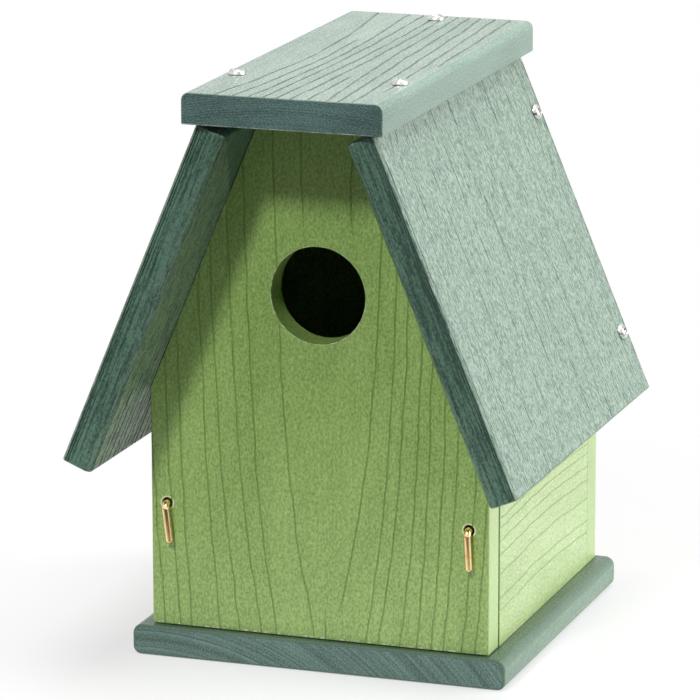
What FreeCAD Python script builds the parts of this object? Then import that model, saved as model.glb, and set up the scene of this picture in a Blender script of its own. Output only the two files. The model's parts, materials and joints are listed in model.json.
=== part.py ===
"""Bluebird house of half-inch recycled-plastic boards, with a front panel that comes off.

Two brass screw hooks pass through the front panel into the ends of the side walls and hold it shut.
The origin is the centre of the base board's underside. X runs to the right as seen from the front,
Y to the back and Z up. Lengths are in millimetres and angles in degrees.
"""
import FreeCAD, Part
import math
import os
import re
from dataclasses import dataclass

import Sketcher

# Driving dimensions
SIZES = {
    "board": 12.7,
    "house_width": 143.5,
    "house_depth": 150.8,
    "panel_height": 216.9,
    "front_fit": 0.4,
    "front_gap": 1.8,
    "base_side_margin": 7.75,
    "base_end_margin": 3.4,
    "base_top_round": 4.0,
    "base_bottom_round": 3.5,
    "roof_slope": 67.3,
    "roof_length": 152.0,
    "roof_top_half": 36.45,
    "roof_overhang": 38.0,
    "roof_edge_round": 1.2,
    "cap_width": 82.6,
    "cap_overhang": 3.7,
    "cap_round": 3.2,
    "entrance_diameter": 39.7,
    "entrance_above_floor": 142.5,
    "entrance_rim": 0.4,
    "mount_hole_diameter": 5.5,
    "mount_hole_above_floor": 35.0,
    "mount_hole_spacing": 145.0,
    "drain_diameter": 6.4,
    "drain_inset": 16.0,
    "screw_length": 31.75,
    "screw_diameter": 3.5,
    "screw_point": 4.5,
    "screw_head_diameter": 6.9,
    "screw_head_height": 2.2,
    "screw_head_round": 1.5,
    "screw_clearance": 0.3,
    "thread_clearance": 0.05,
    "recess_span": 3.8,
    "recess_width": 0.9,
    "recess_depth": 1.3,
    "counterbore_depth": 3.0,
    "counterbore_clearance": 0.8,
    "cap_screw_set_back": 42.7,
    "cap_screw_inset": 2.55,
    "cap_back_screw_side": 1.9,
    "roof_screw_from_top": 25.4,
    "roof_screw_below_eave": 2.8,
    "roof_screw_from_back": 9.0,
    "back_screw_above_floor": 30.0,
    "back_screw_below_eave": 14.6,
    "base_screw_inset": 17.5,
    "hook_wire": 3.0,
    "hook_stub": 0.2,
    "hook_bend": 2.2,
    "hook_leg": 16.0,
    "hook_hole": 4.5,
    "hook_above_floor": 51.6,
    "hook_thread_diameter": 2.6,
    "hook_thread_length": 20.0,
    "hook_point": 4.0,
    "left_hook_inset": 6.7,
    "right_hook_inset": 8.5,
    "left_hook_lean": 6.7,
    "right_hook_lean": 3.2,
}

# Places that follow from the driving dimensions
PLACES = {
    "front_face": "-house_depth / 2",
    "back_face": "house_depth / 2",
    "side_face": "house_width / 2",
    "inner_side": "side_face - board",
    "wall_middle": "side_face - board / 2",
    "wall_front": "front_face + board + front_gap",
    "wall_back": "back_face - board",
    "cap_under": "board + panel_height",
    "cap_top": "cap_under + board",
    "cap_front": "roof_front - cap_overhang",
    "cap_back": "back_face + cap_overhang",
    "roof_front": "front_face - roof_overhang",
    "ridge_half": "roof_top_half - board / sin(roof_slope)",
    "eave": "cap_under - (side_face - ridge_half) * tan(roof_slope)",
    "eave_inside": "cap_under - (inner_side - ridge_half) * tan(roof_slope)",
    "eave_along": "(side_face - roof_top_half + board * sin(roof_slope)) / cos(roof_slope)",
    "fit_across": "front_fit / sin(roof_slope)",
    "front_eave": "eave - fit_across * tan(roof_slope)",
    "front_top": "cap_under - front_fit",
    "front_top_half": "ridge_half - fit_across + front_fit / tan(roof_slope)",
    "pilot_diameter": "screw_diameter + 2 * thread_clearance",
    "shank_hole_diameter": "screw_diameter + 2 * screw_clearance",
    "counterbore_diameter": "screw_head_diameter + 2 * counterbore_clearance",
    "hook_standoff": "hook_stub + hook_bend",
    "hook_shoulder": "board + front_gap / 2",
    "hook_reach": "board + front_gap + hook_thread_length",
    "hook_pilot_diameter": "hook_thread_diameter + 2 * thread_clearance",
}

# How far a drill runs past each face that it cuts, so that no two faces fall together
DRILL_OVERRUN = "1"

# Lengths that differ by less than this are the same
SAME_LENGTH = 1e-6

doc = FreeCAD.newDocument("bluebird_house")
sheet = doc.addObject("Spreadsheet::Sheet", "sizes")
for row, (alias, size) in enumerate(SIZES.items(), start=1):
    sheet.set(f"A{row}", alias)
    sheet.set(f"B{row}", str(size))
    sheet.setAlias(f"B{row}", alias)
doc.recompute()


def formula(text):
    """Returns text with each place written out and each size read from the sheet."""
    def word(match):
        name = match.group(0)
        if name in PLACES:
            return f"({formula(PLACES[name])})"
        return f"sizes.{name}" if name in SIZES else name
    return re.sub(r"[a-z_]+", word, text)


def value(text):
    """Returns the number that a formula gives with the sheet's present sizes."""
    return float(sheet.evalExpression(formula(text)))


def bind(item, property_name, text):
    """Binds one property of an object to a formula on the sheet."""
    item.setExpression(property_name, formula(text))


# Sketches and features
def new_body(name):
    """Adds an empty body."""
    return doc.addObject("PartDesign::Body", name)


def new_sketch(body, name, role, height="0"):
    """Adds a sketch on one of the body's origin planes, or at a height above that plane."""
    sketch = body.newObject("Sketcher::SketchObject", f"{body.Name}_{name}")
    plane = next(item for item in body.Origin.OriginFeatures if item.Role == role)
    sketch.AttachmentSupport = [(plane, "")]
    sketch.MapMode = "FlatFace"
    bind(sketch, "AttachmentOffset.Base.z", height)
    return sketch


def pin_point(sketch, shape, end, place):
    """Fixes one point of a sketched shape at a pair of formulas."""
    for kind, text in zip(("DistanceX", "DistanceY"), place):
        number = sketch.addConstraint(Sketcher.Constraint(kind, -1, 1, shape, end, value(text)))
        bind(sketch, f"Constraints[{number}]", text)


def draw_outline(sketch, corners):
    """Draws a closed outline of straight lines through corners given as pairs of formulas."""
    points = [FreeCAD.Vector(value(across), value(up), 0) for across, up in corners]
    ends = points[1:] + points[:1]
    lines = [sketch.addGeometry(Part.LineSegment(start, end)) for start, end in zip(points, ends)]
    for line, following in zip(lines, lines[1:] + lines[:1]):
        sketch.addConstraint(Sketcher.Constraint("Coincident", line, 2, following, 1))
    for line, corner in zip(lines, corners):
        pin_point(sketch, line, 1, corner)


def draw_rectangle(sketch, low, high):
    """Draws a rectangle between two opposite corners."""
    draw_outline(sketch, [low, (high[0], low[1]), high, (low[0], high[1])])


def draw_circle(sketch, centre, diameter):
    """Draws a circle of a bound diameter about a pair of formulas."""
    middle = FreeCAD.Vector(value(centre[0]), value(centre[1]), 0)
    circle = sketch.addGeometry(Part.Circle(middle, FreeCAD.Vector(0, 0, 1), value(diameter) / 2))
    pin_point(sketch, circle, 3, centre)
    number = sketch.addConstraint(Sketcher.Constraint("Diameter", circle, value(diameter)))
    bind(sketch, f"Constraints[{number}]", diameter)


def pad(body, sketch, length, reverse=False):
    """Pads a sketch along its normal, or against it."""
    feature = body.newObject("PartDesign::Pad", f"{sketch.Name}_pad")
    feature.Profile = sketch
    feature.Reversed = reverse
    bind(feature, "Length", length)
    doc.recompute()
    return feature


def pocket_through(body, sketch, reverse=False):
    """Cuts a sketch right through the body, and makes sure that something was cut."""
    volume = body.Shape.Volume
    feature = body.newObject("PartDesign::Pocket", f"{sketch.Name}_pocket")
    feature.Profile = sketch
    feature.Type = "ThroughAll"
    feature.Reversed = reverse
    doc.recompute()
    if not body.Shape.Volume < volume:
        raise RuntimeError(f"{feature.Name} cut nothing")
    return feature


def revolve(body, sketch):
    """Turns a sketch once about its upright axis."""
    feature = body.newObject("PartDesign::Revolution", f"{sketch.Name}_turn")
    feature.Profile = sketch
    feature.ReferenceAxis = (sketch, ["V_Axis"])
    feature.Angle = 360
    doc.recompute()
    return feature


def round_edges(body, base, name, radius, wanted):
    """Rounds the edges of a feature whose middle and direction pass a test."""
    edges = []
    for number, edge in enumerate(base.Shape.Edges, start=1):
        if edge.Degenerated:
            continue
        middle = edge.valueAt((edge.FirstParameter + edge.LastParameter) / 2)
        if wanted(middle, edge.tangentAt(edge.FirstParameter)):
            edges.append(f"Edge{number}")
    feature = body.newObject("PartDesign::Fillet", f"{body.Name}_{name}")
    feature.Base = (base, edges)
    bind(feature, "Radius", radius)
    doc.recompute()
    return feature


def at(across, back, up):
    """Returns the formula of a place in the house."""
    return f"vector({across}; {back}; {up})"


UPRIGHT = "rotationz(0)"


def put(item, place, turn=UPRIGHT, sunk="0"):
    """Puts an object at a place, turned, and sunk along its own axis."""
    step = f"placement(vector(0; 0; -({sunk})); {UPRIGHT})"
    bind(item, "Placement", f"placement({place}; {turn}) * {step}")


def close_to(number, target):
    """Tells whether two lengths are the same."""
    return abs(number - target) < SAME_LENGTH


def long_edge(side, height):
    """Returns a test for the edges that run front to back at a half width and a height."""
    def wanted(middle, way):
        runs_back = abs(way.y) > abs(way.x) + abs(way.z)
        return runs_back and close_to(abs(middle.x), side) and close_to(middle.z, height)
    return wanted


def runs_down_the_slope(middle, way):
    """Tells whether an edge of a flat roof board runs from its top end to its lower end."""
    return abs(way.x) > abs(way.y) + abs(way.z)


# Boards, each as a blank before it is drilled
def house_outline(half_top, top, eave, bottom):
    """Returns the corners of an end panel: upright sides, then slopes up to a flat top."""
    return [
        ("-side_face", bottom),
        ("side_face", bottom),
        ("side_face", eave),
        (half_top, top),
        (f"-({half_top})", top),
        ("-side_face", eave),
    ]


def base_blank():
    """The floor, which stands out all round, with rounded long edges."""
    body = new_body("base_blank")
    sketch = new_sketch(body, "outline", "XY_Plane")
    half_width = "(side_face + base_side_margin)"
    half_depth = "(house_depth / 2 + base_end_margin)"
    draw_rectangle(sketch, (f"-{half_width}", f"-{half_depth}"), (half_width, half_depth))
    slab = pad(body, sketch, "board")
    side, thick = value(half_width), value("board")

    top = round_edges(body, slab, "top_round", "base_top_round", long_edge(side, thick))
    round_edges(body, top, "bottom_round", "base_bottom_round", long_edge(side, 0))
    drains = new_sketch(body, "drains", "XY_Plane")
    for across in ("-", ""):
        for along in ("-", ""):
            place = (f"{across}(inner_side - drain_inset)", f"{along}(wall_back - drain_inset)")
            draw_circle(drains, place, "drain_diameter")
    pocket_through(body, drains, reverse=True)
    return body


def cap_blank():
    """The ridge cap, with rounded long top edges."""
    body = new_body("cap_blank")
    sketch = new_sketch(body, "outline", "XY_Plane")
    draw_rectangle(sketch, ("-cap_width / 2", "cap_front"), ("cap_width / 2", "cap_back"))
    slab = pad(body, sketch, "board")
    side, thick = value("cap_width / 2"), value("board")
    round_edges(body, slab, "long_round", "cap_round", long_edge(side, thick))
    put(body, at("0", "0", "cap_under"))
    return body


def roof_blank(name, is_right):
    """A roof board drawn flat from its outer top corner, then tilted to the slope."""
    body = new_body(name)
    sketch = new_sketch(body, "outline", "XY_Plane")
    draw_rectangle(sketch, ("0", "roof_front"), ("roof_length", "back_face"))
    slab = pad(body, sketch, "board", reverse=is_right)
    round_edges(body, slab, "edge_round", "roof_edge_round", runs_down_the_slope)
    if is_right:
        put(body, at("roof_top_half", "0", "cap_under"), "rotationy(roof_slope)")
    else:
        put(body, at("-roof_top_half", "0", "cap_under"), "rotationy(180 - roof_slope)")
    return body


def wall_blank(name, side):
    """A side wall, bevelled on top to carry its roof board."""
    body = new_body(name)
    sketch = new_sketch(body, "section", "XZ_Plane")
    draw_outline(sketch, [
        (f"{side}inner_side", "board"),
        (f"{side}side_face", "board"),
        (f"{side}side_face", "eave"),
        (f"{side}inner_side", "eave_inside"),
    ])
    pad(body, sketch, "wall_back - wall_front")
    put(body, at("0", "wall_back", "0"))
    return body


def back_blank():
    """The back panel, with two holes for fixing the house to a post or a wall."""
    body = new_body("back_blank")
    sketch = new_sketch(body, "outline", "XZ_Plane")
    draw_outline(sketch, house_outline("ridge_half", "cap_under", "eave", "board"))
    pad(body, sketch, "board")
    holes = new_sketch(body, "mount_holes", "XZ_Plane")
    low = "board + mount_hole_above_floor"
    draw_circle(holes, ("0", low), "mount_hole_diameter")
    draw_circle(holes, ("0", f"{low} + mount_hole_spacing"), "mount_hole_diameter")
    pocket_through(body, holes, reverse=True)
    put(body, at("0", "back_face", "0"))
    return body


def front_blank():
    """The front panel, which fits loosely under the roof, with the round entrance."""
    body = new_body("front_blank")
    sketch = new_sketch(body, "outline", "XZ_Plane")
    draw_outline(sketch, house_outline("front_top_half", "front_top", "front_eave", "board + front_fit"))
    pad(body, sketch, "board")
    entrance = new_sketch(body, "entrance", "XZ_Plane")
    draw_circle(entrance, ("0", "board + entrance_above_floor"), "entrance_diameter")
    hole = pocket_through(body, entrance, reverse=True)
    thick, height = value("board"), value("board + entrance_above_floor")
    reach = value("entrance_diameter")

    def rim(middle, way):
        near = abs(middle.x) < reach and abs(middle.z - height) < reach
        return near and close_to(middle.y, -thick)

    round_edges(body, hole, "rim", "entrance_rim", rim)
    put(body, at("0", "front_face + board", "0"))
    return body


# Fasteners
@dataclass
class Fixing:
    """One screw: the board under its head, the board it bites, and where its head sits."""

    name: str
    through: str
    into: str
    place: str
    turn: str
    grip: str
    counterbored: bool = False


def roof_point(side, along):
    """Returns the formula of a screw's seat on a roof board's outer face."""
    across = f"{side}(roof_top_half + ({along}) * cos(roof_slope))"
    return at(across, "back_face - roof_screw_from_back", f"cap_under - ({along}) * sin(roof_slope)")


def all_fixings():
    """Lists every screw of the house."""
    fixings = []
    for hand, side in (("left", "-"), ("right", "")):
        roof, wall = f"{hand}_roof_board", f"{hand}_wall"
        tilt = f"rotationy({side}roof_slope)"
        across = f"{side}(roof_top_half - cap_screw_inset)"
        place = at(across, "cap_front + cap_screw_set_back", "cap_top")
        fixings.append(Fixing(f"cap_screw_{hand}", "ridge_cap", roof, place, UPRIGHT, "board"))
        stations = (("upper", "roof_screw_from_top"), ("lower", "eave_along + roof_screw_below_eave"))
        for level, along in stations:
            name = f"roof_screw_{hand}_{level}"
            fixings.append(Fixing(name, roof, "back_panel", roof_point(side, along), tilt, "board"))
        heights = (("lower", "board + back_screw_above_floor"), ("upper", "eave - back_screw_below_eave"))
        for level, up in heights:
            place = at(f"{side}wall_middle", "back_face", up)
            name = f"back_screw_{hand}_{level}"
            fixings.append(Fixing(name, "back_panel", wall, place, "rotationx(-90)", "board"))
        ends = (("front", "wall_front + base_screw_inset"), ("rear", "wall_back - base_screw_inset"))
        for end, along in ends:
            place = at(f"{side}wall_middle", along, "counterbore_depth")
            name = f"base_screw_{hand}_{end}"
            grip = "board - counterbore_depth"
            fixings.append(Fixing(name, "base_board", wall, place, "rotationx(180)", grip, True))
    place = at("cap_back_screw_side", "back_face - board / 2", "cap_top")
    fixings.append(Fixing("cap_screw_rear", "ridge_cap", "back_panel", place, UPRIGHT, "board"))
    return fixings


def pan_screw(fixing):
    """A pan-head screw with a cross recess; its own origin is the middle of the head's seat."""
    body = new_body(fixing.name)
    sketch = new_sketch(body, "profile", "XZ_Plane")
    draw_outline(sketch, [
        ("0", "screw_head_height"),
        ("0", "-screw_length"),
        ("screw_diameter / 2", "-(screw_length - screw_point)"),
        ("screw_diameter / 2", "0"),
        ("screw_head_diameter / 2", "0"),
        ("screw_head_diameter / 2", "screw_head_height"),
    ])
    turned = revolve(body, sketch)
    top = value("screw_head_height")
    round_edges(body, turned, "dome", "screw_head_round", lambda middle, way: close_to(middle.z, top))
    recess = new_sketch(body, "recess", "XY_Plane", "screw_head_height")
    span, width = "recess_span / 2", "recess_width / 2"
    draw_outline(recess, [
        (span, f"-{width}"), (span, width), (width, width),
        (width, span), (f"-{width}", span), (f"-{width}", width),
        (f"-{span}", width), (f"-{span}", f"-{width}"), (f"-{width}", f"-{width}"),
        (f"-{width}", f"-{span}"), (width, f"-{span}"), (width, f"-{width}"),
    ])
    cross = body.newObject("PartDesign::Pocket", f"{body.Name}_cross")
    cross.Profile = recess
    bind(cross, "Length", "recess_depth")
    put(body, fixing.place, fixing.turn)
    return body


def screw_hook(hand, side):
    """A square-bend screw hook; its own origin is on the front panel's face, its leg hangs down."""
    name = f"{hand}_hook"
    body = new_body(name)
    shank = new_sketch(body, "shank", "XZ_Plane")
    draw_outline(shank, [
        ("0", "0"),
        ("0", "-hook_reach"),
        ("hook_thread_diameter / 2", "-(hook_reach - hook_point)"),
        ("hook_thread_diameter / 2", "-hook_shoulder"),
        ("hook_wire / 2", "-hook_shoulder"),
        ("hook_wire / 2", "0"),
    ])
    revolve(body, shank)
    section = new_sketch(body, "section", "XY_Plane")
    draw_circle(section, ("0", "0"), "hook_wire")
    path = new_sketch(body, "path", "YZ_Plane")
    draw_hook_path(path)
    pipe = body.newObject("PartDesign::AdditivePipe", f"{name}_bend")
    pipe.Profile = section
    pipe.Spine = (path, ["Edge1", "Edge2", "Edge3"])
    put(body, *hook_station(hand, side))
    return body


def draw_hook_path(sketch):
    """Draws the wire's middle line: out of the panel, round the bend and down the leg."""
    bend, out = value("hook_bend"), value("hook_standoff")
    middle = FreeCAD.Vector(-bend, out - bend, 0)
    elbow = FreeCAD.Vector(0, out - bend, 0)
    start = sketch.addGeometry(Part.LineSegment(FreeCAD.Vector(0, 0, 0), elbow))
    circle = Part.Circle(middle, FreeCAD.Vector(0, 0, 1), bend)
    arc = sketch.addGeometry(Part.ArcOfCircle(circle, 0, math.pi / 2))
    tip = FreeCAD.Vector(-value("hook_leg"), out, 0)
    leg = sketch.addGeometry(Part.LineSegment(FreeCAD.Vector(-bend, out, 0), tip))
    sketch.addConstraint(Sketcher.Constraint("Coincident", start, 1, -1, 1))
    sketch.addConstraint(Sketcher.Constraint("Vertical", start))
    sketch.addConstraint(Sketcher.Constraint("Tangent", start, 2, arc, 1))
    sketch.addConstraint(Sketcher.Constraint("Tangent", arc, 2, leg, 1))
    radius = sketch.addConstraint(Sketcher.Constraint("Radius", arc, bend))
    bind(sketch, f"Constraints[{radius}]", "hook_bend")
    pin_point(sketch, leg, 2, ("-hook_leg", "hook_standoff"))


def hook_station(hand, side):
    """Returns a hook's place on the front panel's face and its turn, with the leg's lean."""
    place = at(f"{side}(side_face - {hand}_hook_inset)", "front_face", "board + hook_above_floor")
    return place, f"rotationx(90) * rotationz({hand}_hook_lean)"


# Drilling
def drill(name, diameter, station, top, bottom):
    """A drill on a station's axis, from a height above its seat down to a depth below."""
    cutter = doc.addObject("Part::Cylinder", name)
    bind(cutter, "Radius", f"({diameter}) / 2")
    bind(cutter, "Height", f"({top}) + ({bottom})")
    put(cutter, *station, bottom)
    return cutter


def drills_for_screw(fixing, drills):
    """Drills the loose hole, the pilot hole and any counterbore for one screw."""
    station = (fixing.place, fixing.turn)
    below = f"{fixing.grip} + {DRILL_OVERRUN}"
    loose = drill(f"{fixing.name}_loose", "shank_hole_diameter", station, DRILL_OVERRUN, below)
    drills[fixing.through].append(loose)
    start = f"{DRILL_OVERRUN} - ({fixing.grip})"
    depth = f"screw_length + {DRILL_OVERRUN}"
    pilot = drill(f"{fixing.name}_pilot", "pilot_diameter", station, start, depth)
    drills[fixing.into].append(pilot)
    if fixing.counterbored:
        top = f"counterbore_depth + {DRILL_OVERRUN}"
        drills[fixing.through].append(
            drill(f"{fixing.name}_counterbore", "counterbore_diameter", station, top, "0"))


def drills_for_hook(hand, side, drills):
    """Drills a hook's loose hole in the front panel and its pilot in the wall's end."""
    station = hook_station(hand, side)
    drills["front_panel"].append(
        drill(f"{hand}_hook_loose", "hook_hole", station, DRILL_OVERRUN, f"board + {DRILL_OVERRUN}"))
    depth = f"hook_reach + {DRILL_OVERRUN}"
    drills[f"{hand}_wall"].append(
        drill(f"{hand}_hook_pilot", "hook_pilot_diameter", station, "-board", depth))


def drilled(label, blank, cutters):
    """Cuts a board's drills out of its blank, and makes sure that every one of them cut."""
    group = doc.addObject("Part::Compound", f"{label}_drills")
    group.Links = cutters
    board = doc.addObject("Part::Cut", label)
    board.Base = blank
    board.Tool = group
    doc.recompute()
    for cutter in cutters:
        if not blank.Shape.common(cutter.Shape).Volume > 0:
            raise RuntimeError(f"{cutter.Name} misses {label}")
    return board


# The house
def build_house():
    """Builds every piece and returns them."""
    blanks = {
        "base_board": base_blank(),
        "back_panel": back_blank(),
        "left_wall": wall_blank("left_wall_blank", "-"),
        "right_wall": wall_blank("right_wall_blank", ""),
        "front_panel": front_blank(),
        "left_roof_board": roof_blank("left_roof_blank", False),
        "right_roof_board": roof_blank("right_roof_blank", True),
        "ridge_cap": cap_blank(),
    }
    drills = {label: [] for label in blanks}
    pieces = []
    for fixing in all_fixings():
        pieces.append(pan_screw(fixing))
        drills_for_screw(fixing, drills)
    for hand, side in (("left", "-"), ("right", "")):
        pieces.append(screw_hook(hand, side))
        drills_for_hook(hand, side, drills)
    doc.recompute()
    pieces += [drilled(label, blank, drills[label]) for label, blank in blanks.items()]
    return pieces


def check(pieces):
    """Stops with a message if any object failed or any piece isn't one valid solid."""
    for item in doc.Objects:
        if "Invalid" in item.State or "Error" in item.State:
            raise RuntimeError(f"{item.Name} failed: {item.State}")
    for piece in pieces:
        if piece.Shape.isNull() or not piece.Shape.isValid() or len(piece.Shape.Solids) != 1:
            raise RuntimeError(f"{piece.Label} isn't one valid solid")


def write(pieces):
    """Writes each piece to its own file, named for its label."""
    os.makedirs("parts", exist_ok=True)
    for piece in pieces:
        piece.Shape.exportStep(f"parts/{piece.Label}.step")
        print(f"{piece.Label}: {piece.Shape.Volume:.1f} cubic mm")


house = build_house()
doc.recompute()
check(house)
write(house)
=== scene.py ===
"""The looks of a bluebird house: grained recycled-plastic boards, brass screw hooks and steel screws.

Every board is shaped on a bench: X runs along its grain, Y across it and Z out of its good face. A node
tree carves the grain and the bores into it, and then the board turns into its place in the house. Bench
and house share one origin, so a board's place is a turn alone. Lengths are in millimetres, and MM makes
them metres where a mesh is written.
"""
import json
import logging
import math
import random
from collections.abc import Callable, Sequence
from dataclasses import dataclass, field, replace
from enum import Enum
from typing import NamedTuple

import bmesh
import bpy
from mathutils import Color, Matrix, Vector


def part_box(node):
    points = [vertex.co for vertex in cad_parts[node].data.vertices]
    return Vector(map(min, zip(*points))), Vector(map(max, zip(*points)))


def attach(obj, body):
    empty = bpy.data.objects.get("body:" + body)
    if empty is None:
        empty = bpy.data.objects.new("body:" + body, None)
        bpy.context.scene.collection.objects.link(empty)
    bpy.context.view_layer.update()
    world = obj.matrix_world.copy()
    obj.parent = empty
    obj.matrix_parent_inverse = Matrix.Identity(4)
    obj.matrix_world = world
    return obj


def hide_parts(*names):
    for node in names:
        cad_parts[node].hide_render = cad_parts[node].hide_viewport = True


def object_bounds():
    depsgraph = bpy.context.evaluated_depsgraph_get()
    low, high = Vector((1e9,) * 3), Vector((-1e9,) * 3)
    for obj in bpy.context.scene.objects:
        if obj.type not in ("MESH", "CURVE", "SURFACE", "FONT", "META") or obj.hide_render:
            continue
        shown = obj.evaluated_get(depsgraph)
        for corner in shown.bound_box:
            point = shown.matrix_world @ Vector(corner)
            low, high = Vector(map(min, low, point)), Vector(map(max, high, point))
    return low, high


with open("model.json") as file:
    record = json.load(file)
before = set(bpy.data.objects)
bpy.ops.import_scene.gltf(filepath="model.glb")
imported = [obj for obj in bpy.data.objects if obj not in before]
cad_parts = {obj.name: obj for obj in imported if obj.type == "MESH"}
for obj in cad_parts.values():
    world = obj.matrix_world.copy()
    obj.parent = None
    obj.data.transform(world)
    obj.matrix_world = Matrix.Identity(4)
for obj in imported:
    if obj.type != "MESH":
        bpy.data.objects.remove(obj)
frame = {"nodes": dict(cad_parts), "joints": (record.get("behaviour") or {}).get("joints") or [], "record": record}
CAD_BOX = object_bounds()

log = logging.getLogger("bluebird_house")

MM = 0.001
X, Y, Z = range(3)
# Two CAD points closer than this, in millimetres, are at one level
SAME_LEVEL = 0.01
# The largest level in a channel of a written colour
FULL_LEVEL = 255
# Fractal noise lies about this
NOISE_MIDDLE = 0.5
# The detail and the roughness of fine noise
FINE_NOISE = (3.0, 0.6)

Rgb = tuple[int, int, int]
Flat = tuple[float, float]


class Hand(Enum):
    """The two sides of the house as seen from the front, with the sign of X."""

    LEFT = -1
    RIGHT = 1

    @property
    def word(self) -> str:
        """The side's name, as the node names have it."""
        return self.name.lower()


class Surface(Enum):
    """A board's kinds of surface, each with the number that marks its faces.

    They are the good face, the planed edges, the sawn ends, rounds and slopes, and the other face.
    """

    FACE = 0.0
    EDGE = 1.0
    END = 2.0
    ROUND = 3.0
    BACK = 4.0

    @property
    def word(self) -> str:
        """The surface's name, as the carver's inputs have it."""
        return self.name.title()


class Combining(Enum):
    """The ways to combine closed meshes, by the node's operations."""

    CUT = "DIFFERENCE"
    JOIN = "UNION"


class Drift(Enum):
    """What the noise along a grain line sets, by the first word of its inputs."""

    WANDER = "Wander"
    FADE = "Fade"


# Node trees
class Value:
    """A node's output, which takes part in sums written as Python expressions."""

    def __init__(self, sheet: "NodeSheet", socket: bpy.types.NodeSocket) -> None:
        """Wraps one output socket of a sheet."""
        self.sheet = sheet
        self.socket = socket

    def math(self, operation: str, first: "Value | float", second: "Value | float") -> "Value":
        """Adds one Math node for two operands."""
        return self.sheet.add("ShaderNodeMath", {"operation": operation}, {0: first, 1: second})

    def __add__(self, other: "Value | float") -> "Value":
        """This and another value, added."""
        return self.math("ADD", self, other)

    def __radd__(self, other: float) -> "Value":
        """A number and this, added."""
        return self.math("ADD", other, self)

    def __sub__(self, other: "Value | float") -> "Value":
        """This less another value."""
        return self.math("SUBTRACT", self, other)

    def __rsub__(self, other: float) -> "Value":
        """A number less this."""
        return self.math("SUBTRACT", other, self)

    def __mul__(self, other: "Value | float") -> "Value":
        """This times another value."""
        return self.math("MULTIPLY", self, other)

    def __rmul__(self, other: float) -> "Value":
        """A number times this."""
        return self.math("MULTIPLY", other, self)

    def __truediv__(self, other: "Value | float") -> "Value":
        """This over another value."""
        return self.math("DIVIDE", self, other)

    def __rtruediv__(self, other: float) -> "Value":
        """A number over this."""
        return self.math("DIVIDE", other, self)

    def between(self, low: float, high: float) -> "Value":
        """This held between two numbers."""
        return self.sheet.add("ShaderNodeClamp", {}, {"Value": self, "Min": low, "Max": high})

    def rise(self, low: float, high: float) -> "Value":
        """0 where this is up to one number, 1 from another on, and a straight rise between them."""
        return ((self - low) / (high - low)).between(0.0, 1.0)


class NodeSheet:
    """A node tree to which nodes are added one call at a time."""

    def __init__(self, tree: bpy.types.NodeTree) -> None:
        """Works on one tree."""
        self.tree = tree

    def add(self, kind: str, settings: dict | None = None, inputs: dict | None = None,
            output: str | int = 0) -> Value:
        """Adds a node, sets it up, and fills or links its sockets.

        Args:
            kind: the node's type.
            settings: the node's own settings, which are set first.
            inputs: numbers, colours, objects or values, by socket identifier or number.
            output: the identifier or number of the socket to return.

        Returns:
            The chosen output.
        """
        node = self.tree.nodes.new(kind)
        for name, setting in (settings or {}).items():
            setattr(node, name, setting)
        for key, value in (inputs or {}).items():
            self.feed(self.pick(node.inputs, key), value)
        return Value(self, self.pick(node.outputs, output) if node.outputs else None)

    @staticmethod
    def pick(sockets: Sequence[bpy.types.NodeSocket], key: str | int) -> bpy.types.NodeSocket:
        """Finds a socket by its number or identifier."""
        named = (socket for socket in sockets if socket.identifier == key)
        return sockets[key] if isinstance(key, int) else next(named)

    def feed(self, socket: bpy.types.NodeSocket, value: object) -> None:
        """Links a socket to a value, or sets the number or colour that it holds.

        Args:
            socket: the input to fill.
            value: an output of this tree, or what the input is to hold.
        """
        if isinstance(value, Value):
            self.tree.links.new(value.socket, socket)
        else:
            socket.default_value = value

    def attribute(self, name: str, output: str = "Fac") -> Value:
        """Reads an attribute of the surface."""
        return self.add("ShaderNodeAttribute", {"attribute_name": name}, output=output)

    def mix(self, share: Value | float, first: object, second: object) -> Value:
        """Mixes two colours by the second one's share."""
        inputs = {"Factor_Float": share, "A_Color": first, "B_Color": second}
        return self.add("ShaderNodeMix", {"data_type": "RGBA"}, inputs, "Result_Color")

    def stretched(self, vector: Value, size: Sequence[float]) -> Value:
        """Measures a vector in lengths that differ by axis."""
        scale = tuple(1 / length for length in size)
        return self.add("ShaderNodeVectorMath", {"operation": "MULTIPLY"}, {0: vector, 1: scale})

    def ray(self, kind: str) -> Value:
        """Tells whether a ray is of a kind, as 0 or 1."""
        return self.add("ShaderNodeLightPath", {}, {}, kind)

    def noise(self, vector: Value, detail: float = 2.0, roughness: float = 0.5) -> Value:
        """Samples fractal noise."""
        inputs = {"Vector": vector, "Scale": 1.0, "Detail": detail, "Roughness": roughness}
        return self.add("ShaderNodeTexNoise", {}, inputs, "Fac")

    def swing(self, vector: Value, *kind: float) -> Value:
        """Samples fractal noise, about 0 in the middle."""
        return self.noise(vector, *kind) - NOISE_MIDDLE


class MaterialSheet(NodeSheet):
    """The node tree of a new material."""

    def __init__(self, name: str) -> None:
        """Makes an empty material.

        Args:
            name: the material's name.
        """
        self.material = bpy.data.materials.new(name)
        self.material.use_nodes = True
        self.material.node_tree.nodes.clear()
        super().__init__(self.material.node_tree)

    def show(self, shader: Value) -> bpy.types.Material:
        """Makes a shader the material's surface."""
        self.add("ShaderNodeOutputMaterial", {}, {"Surface": shader})
        return self.material


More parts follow.
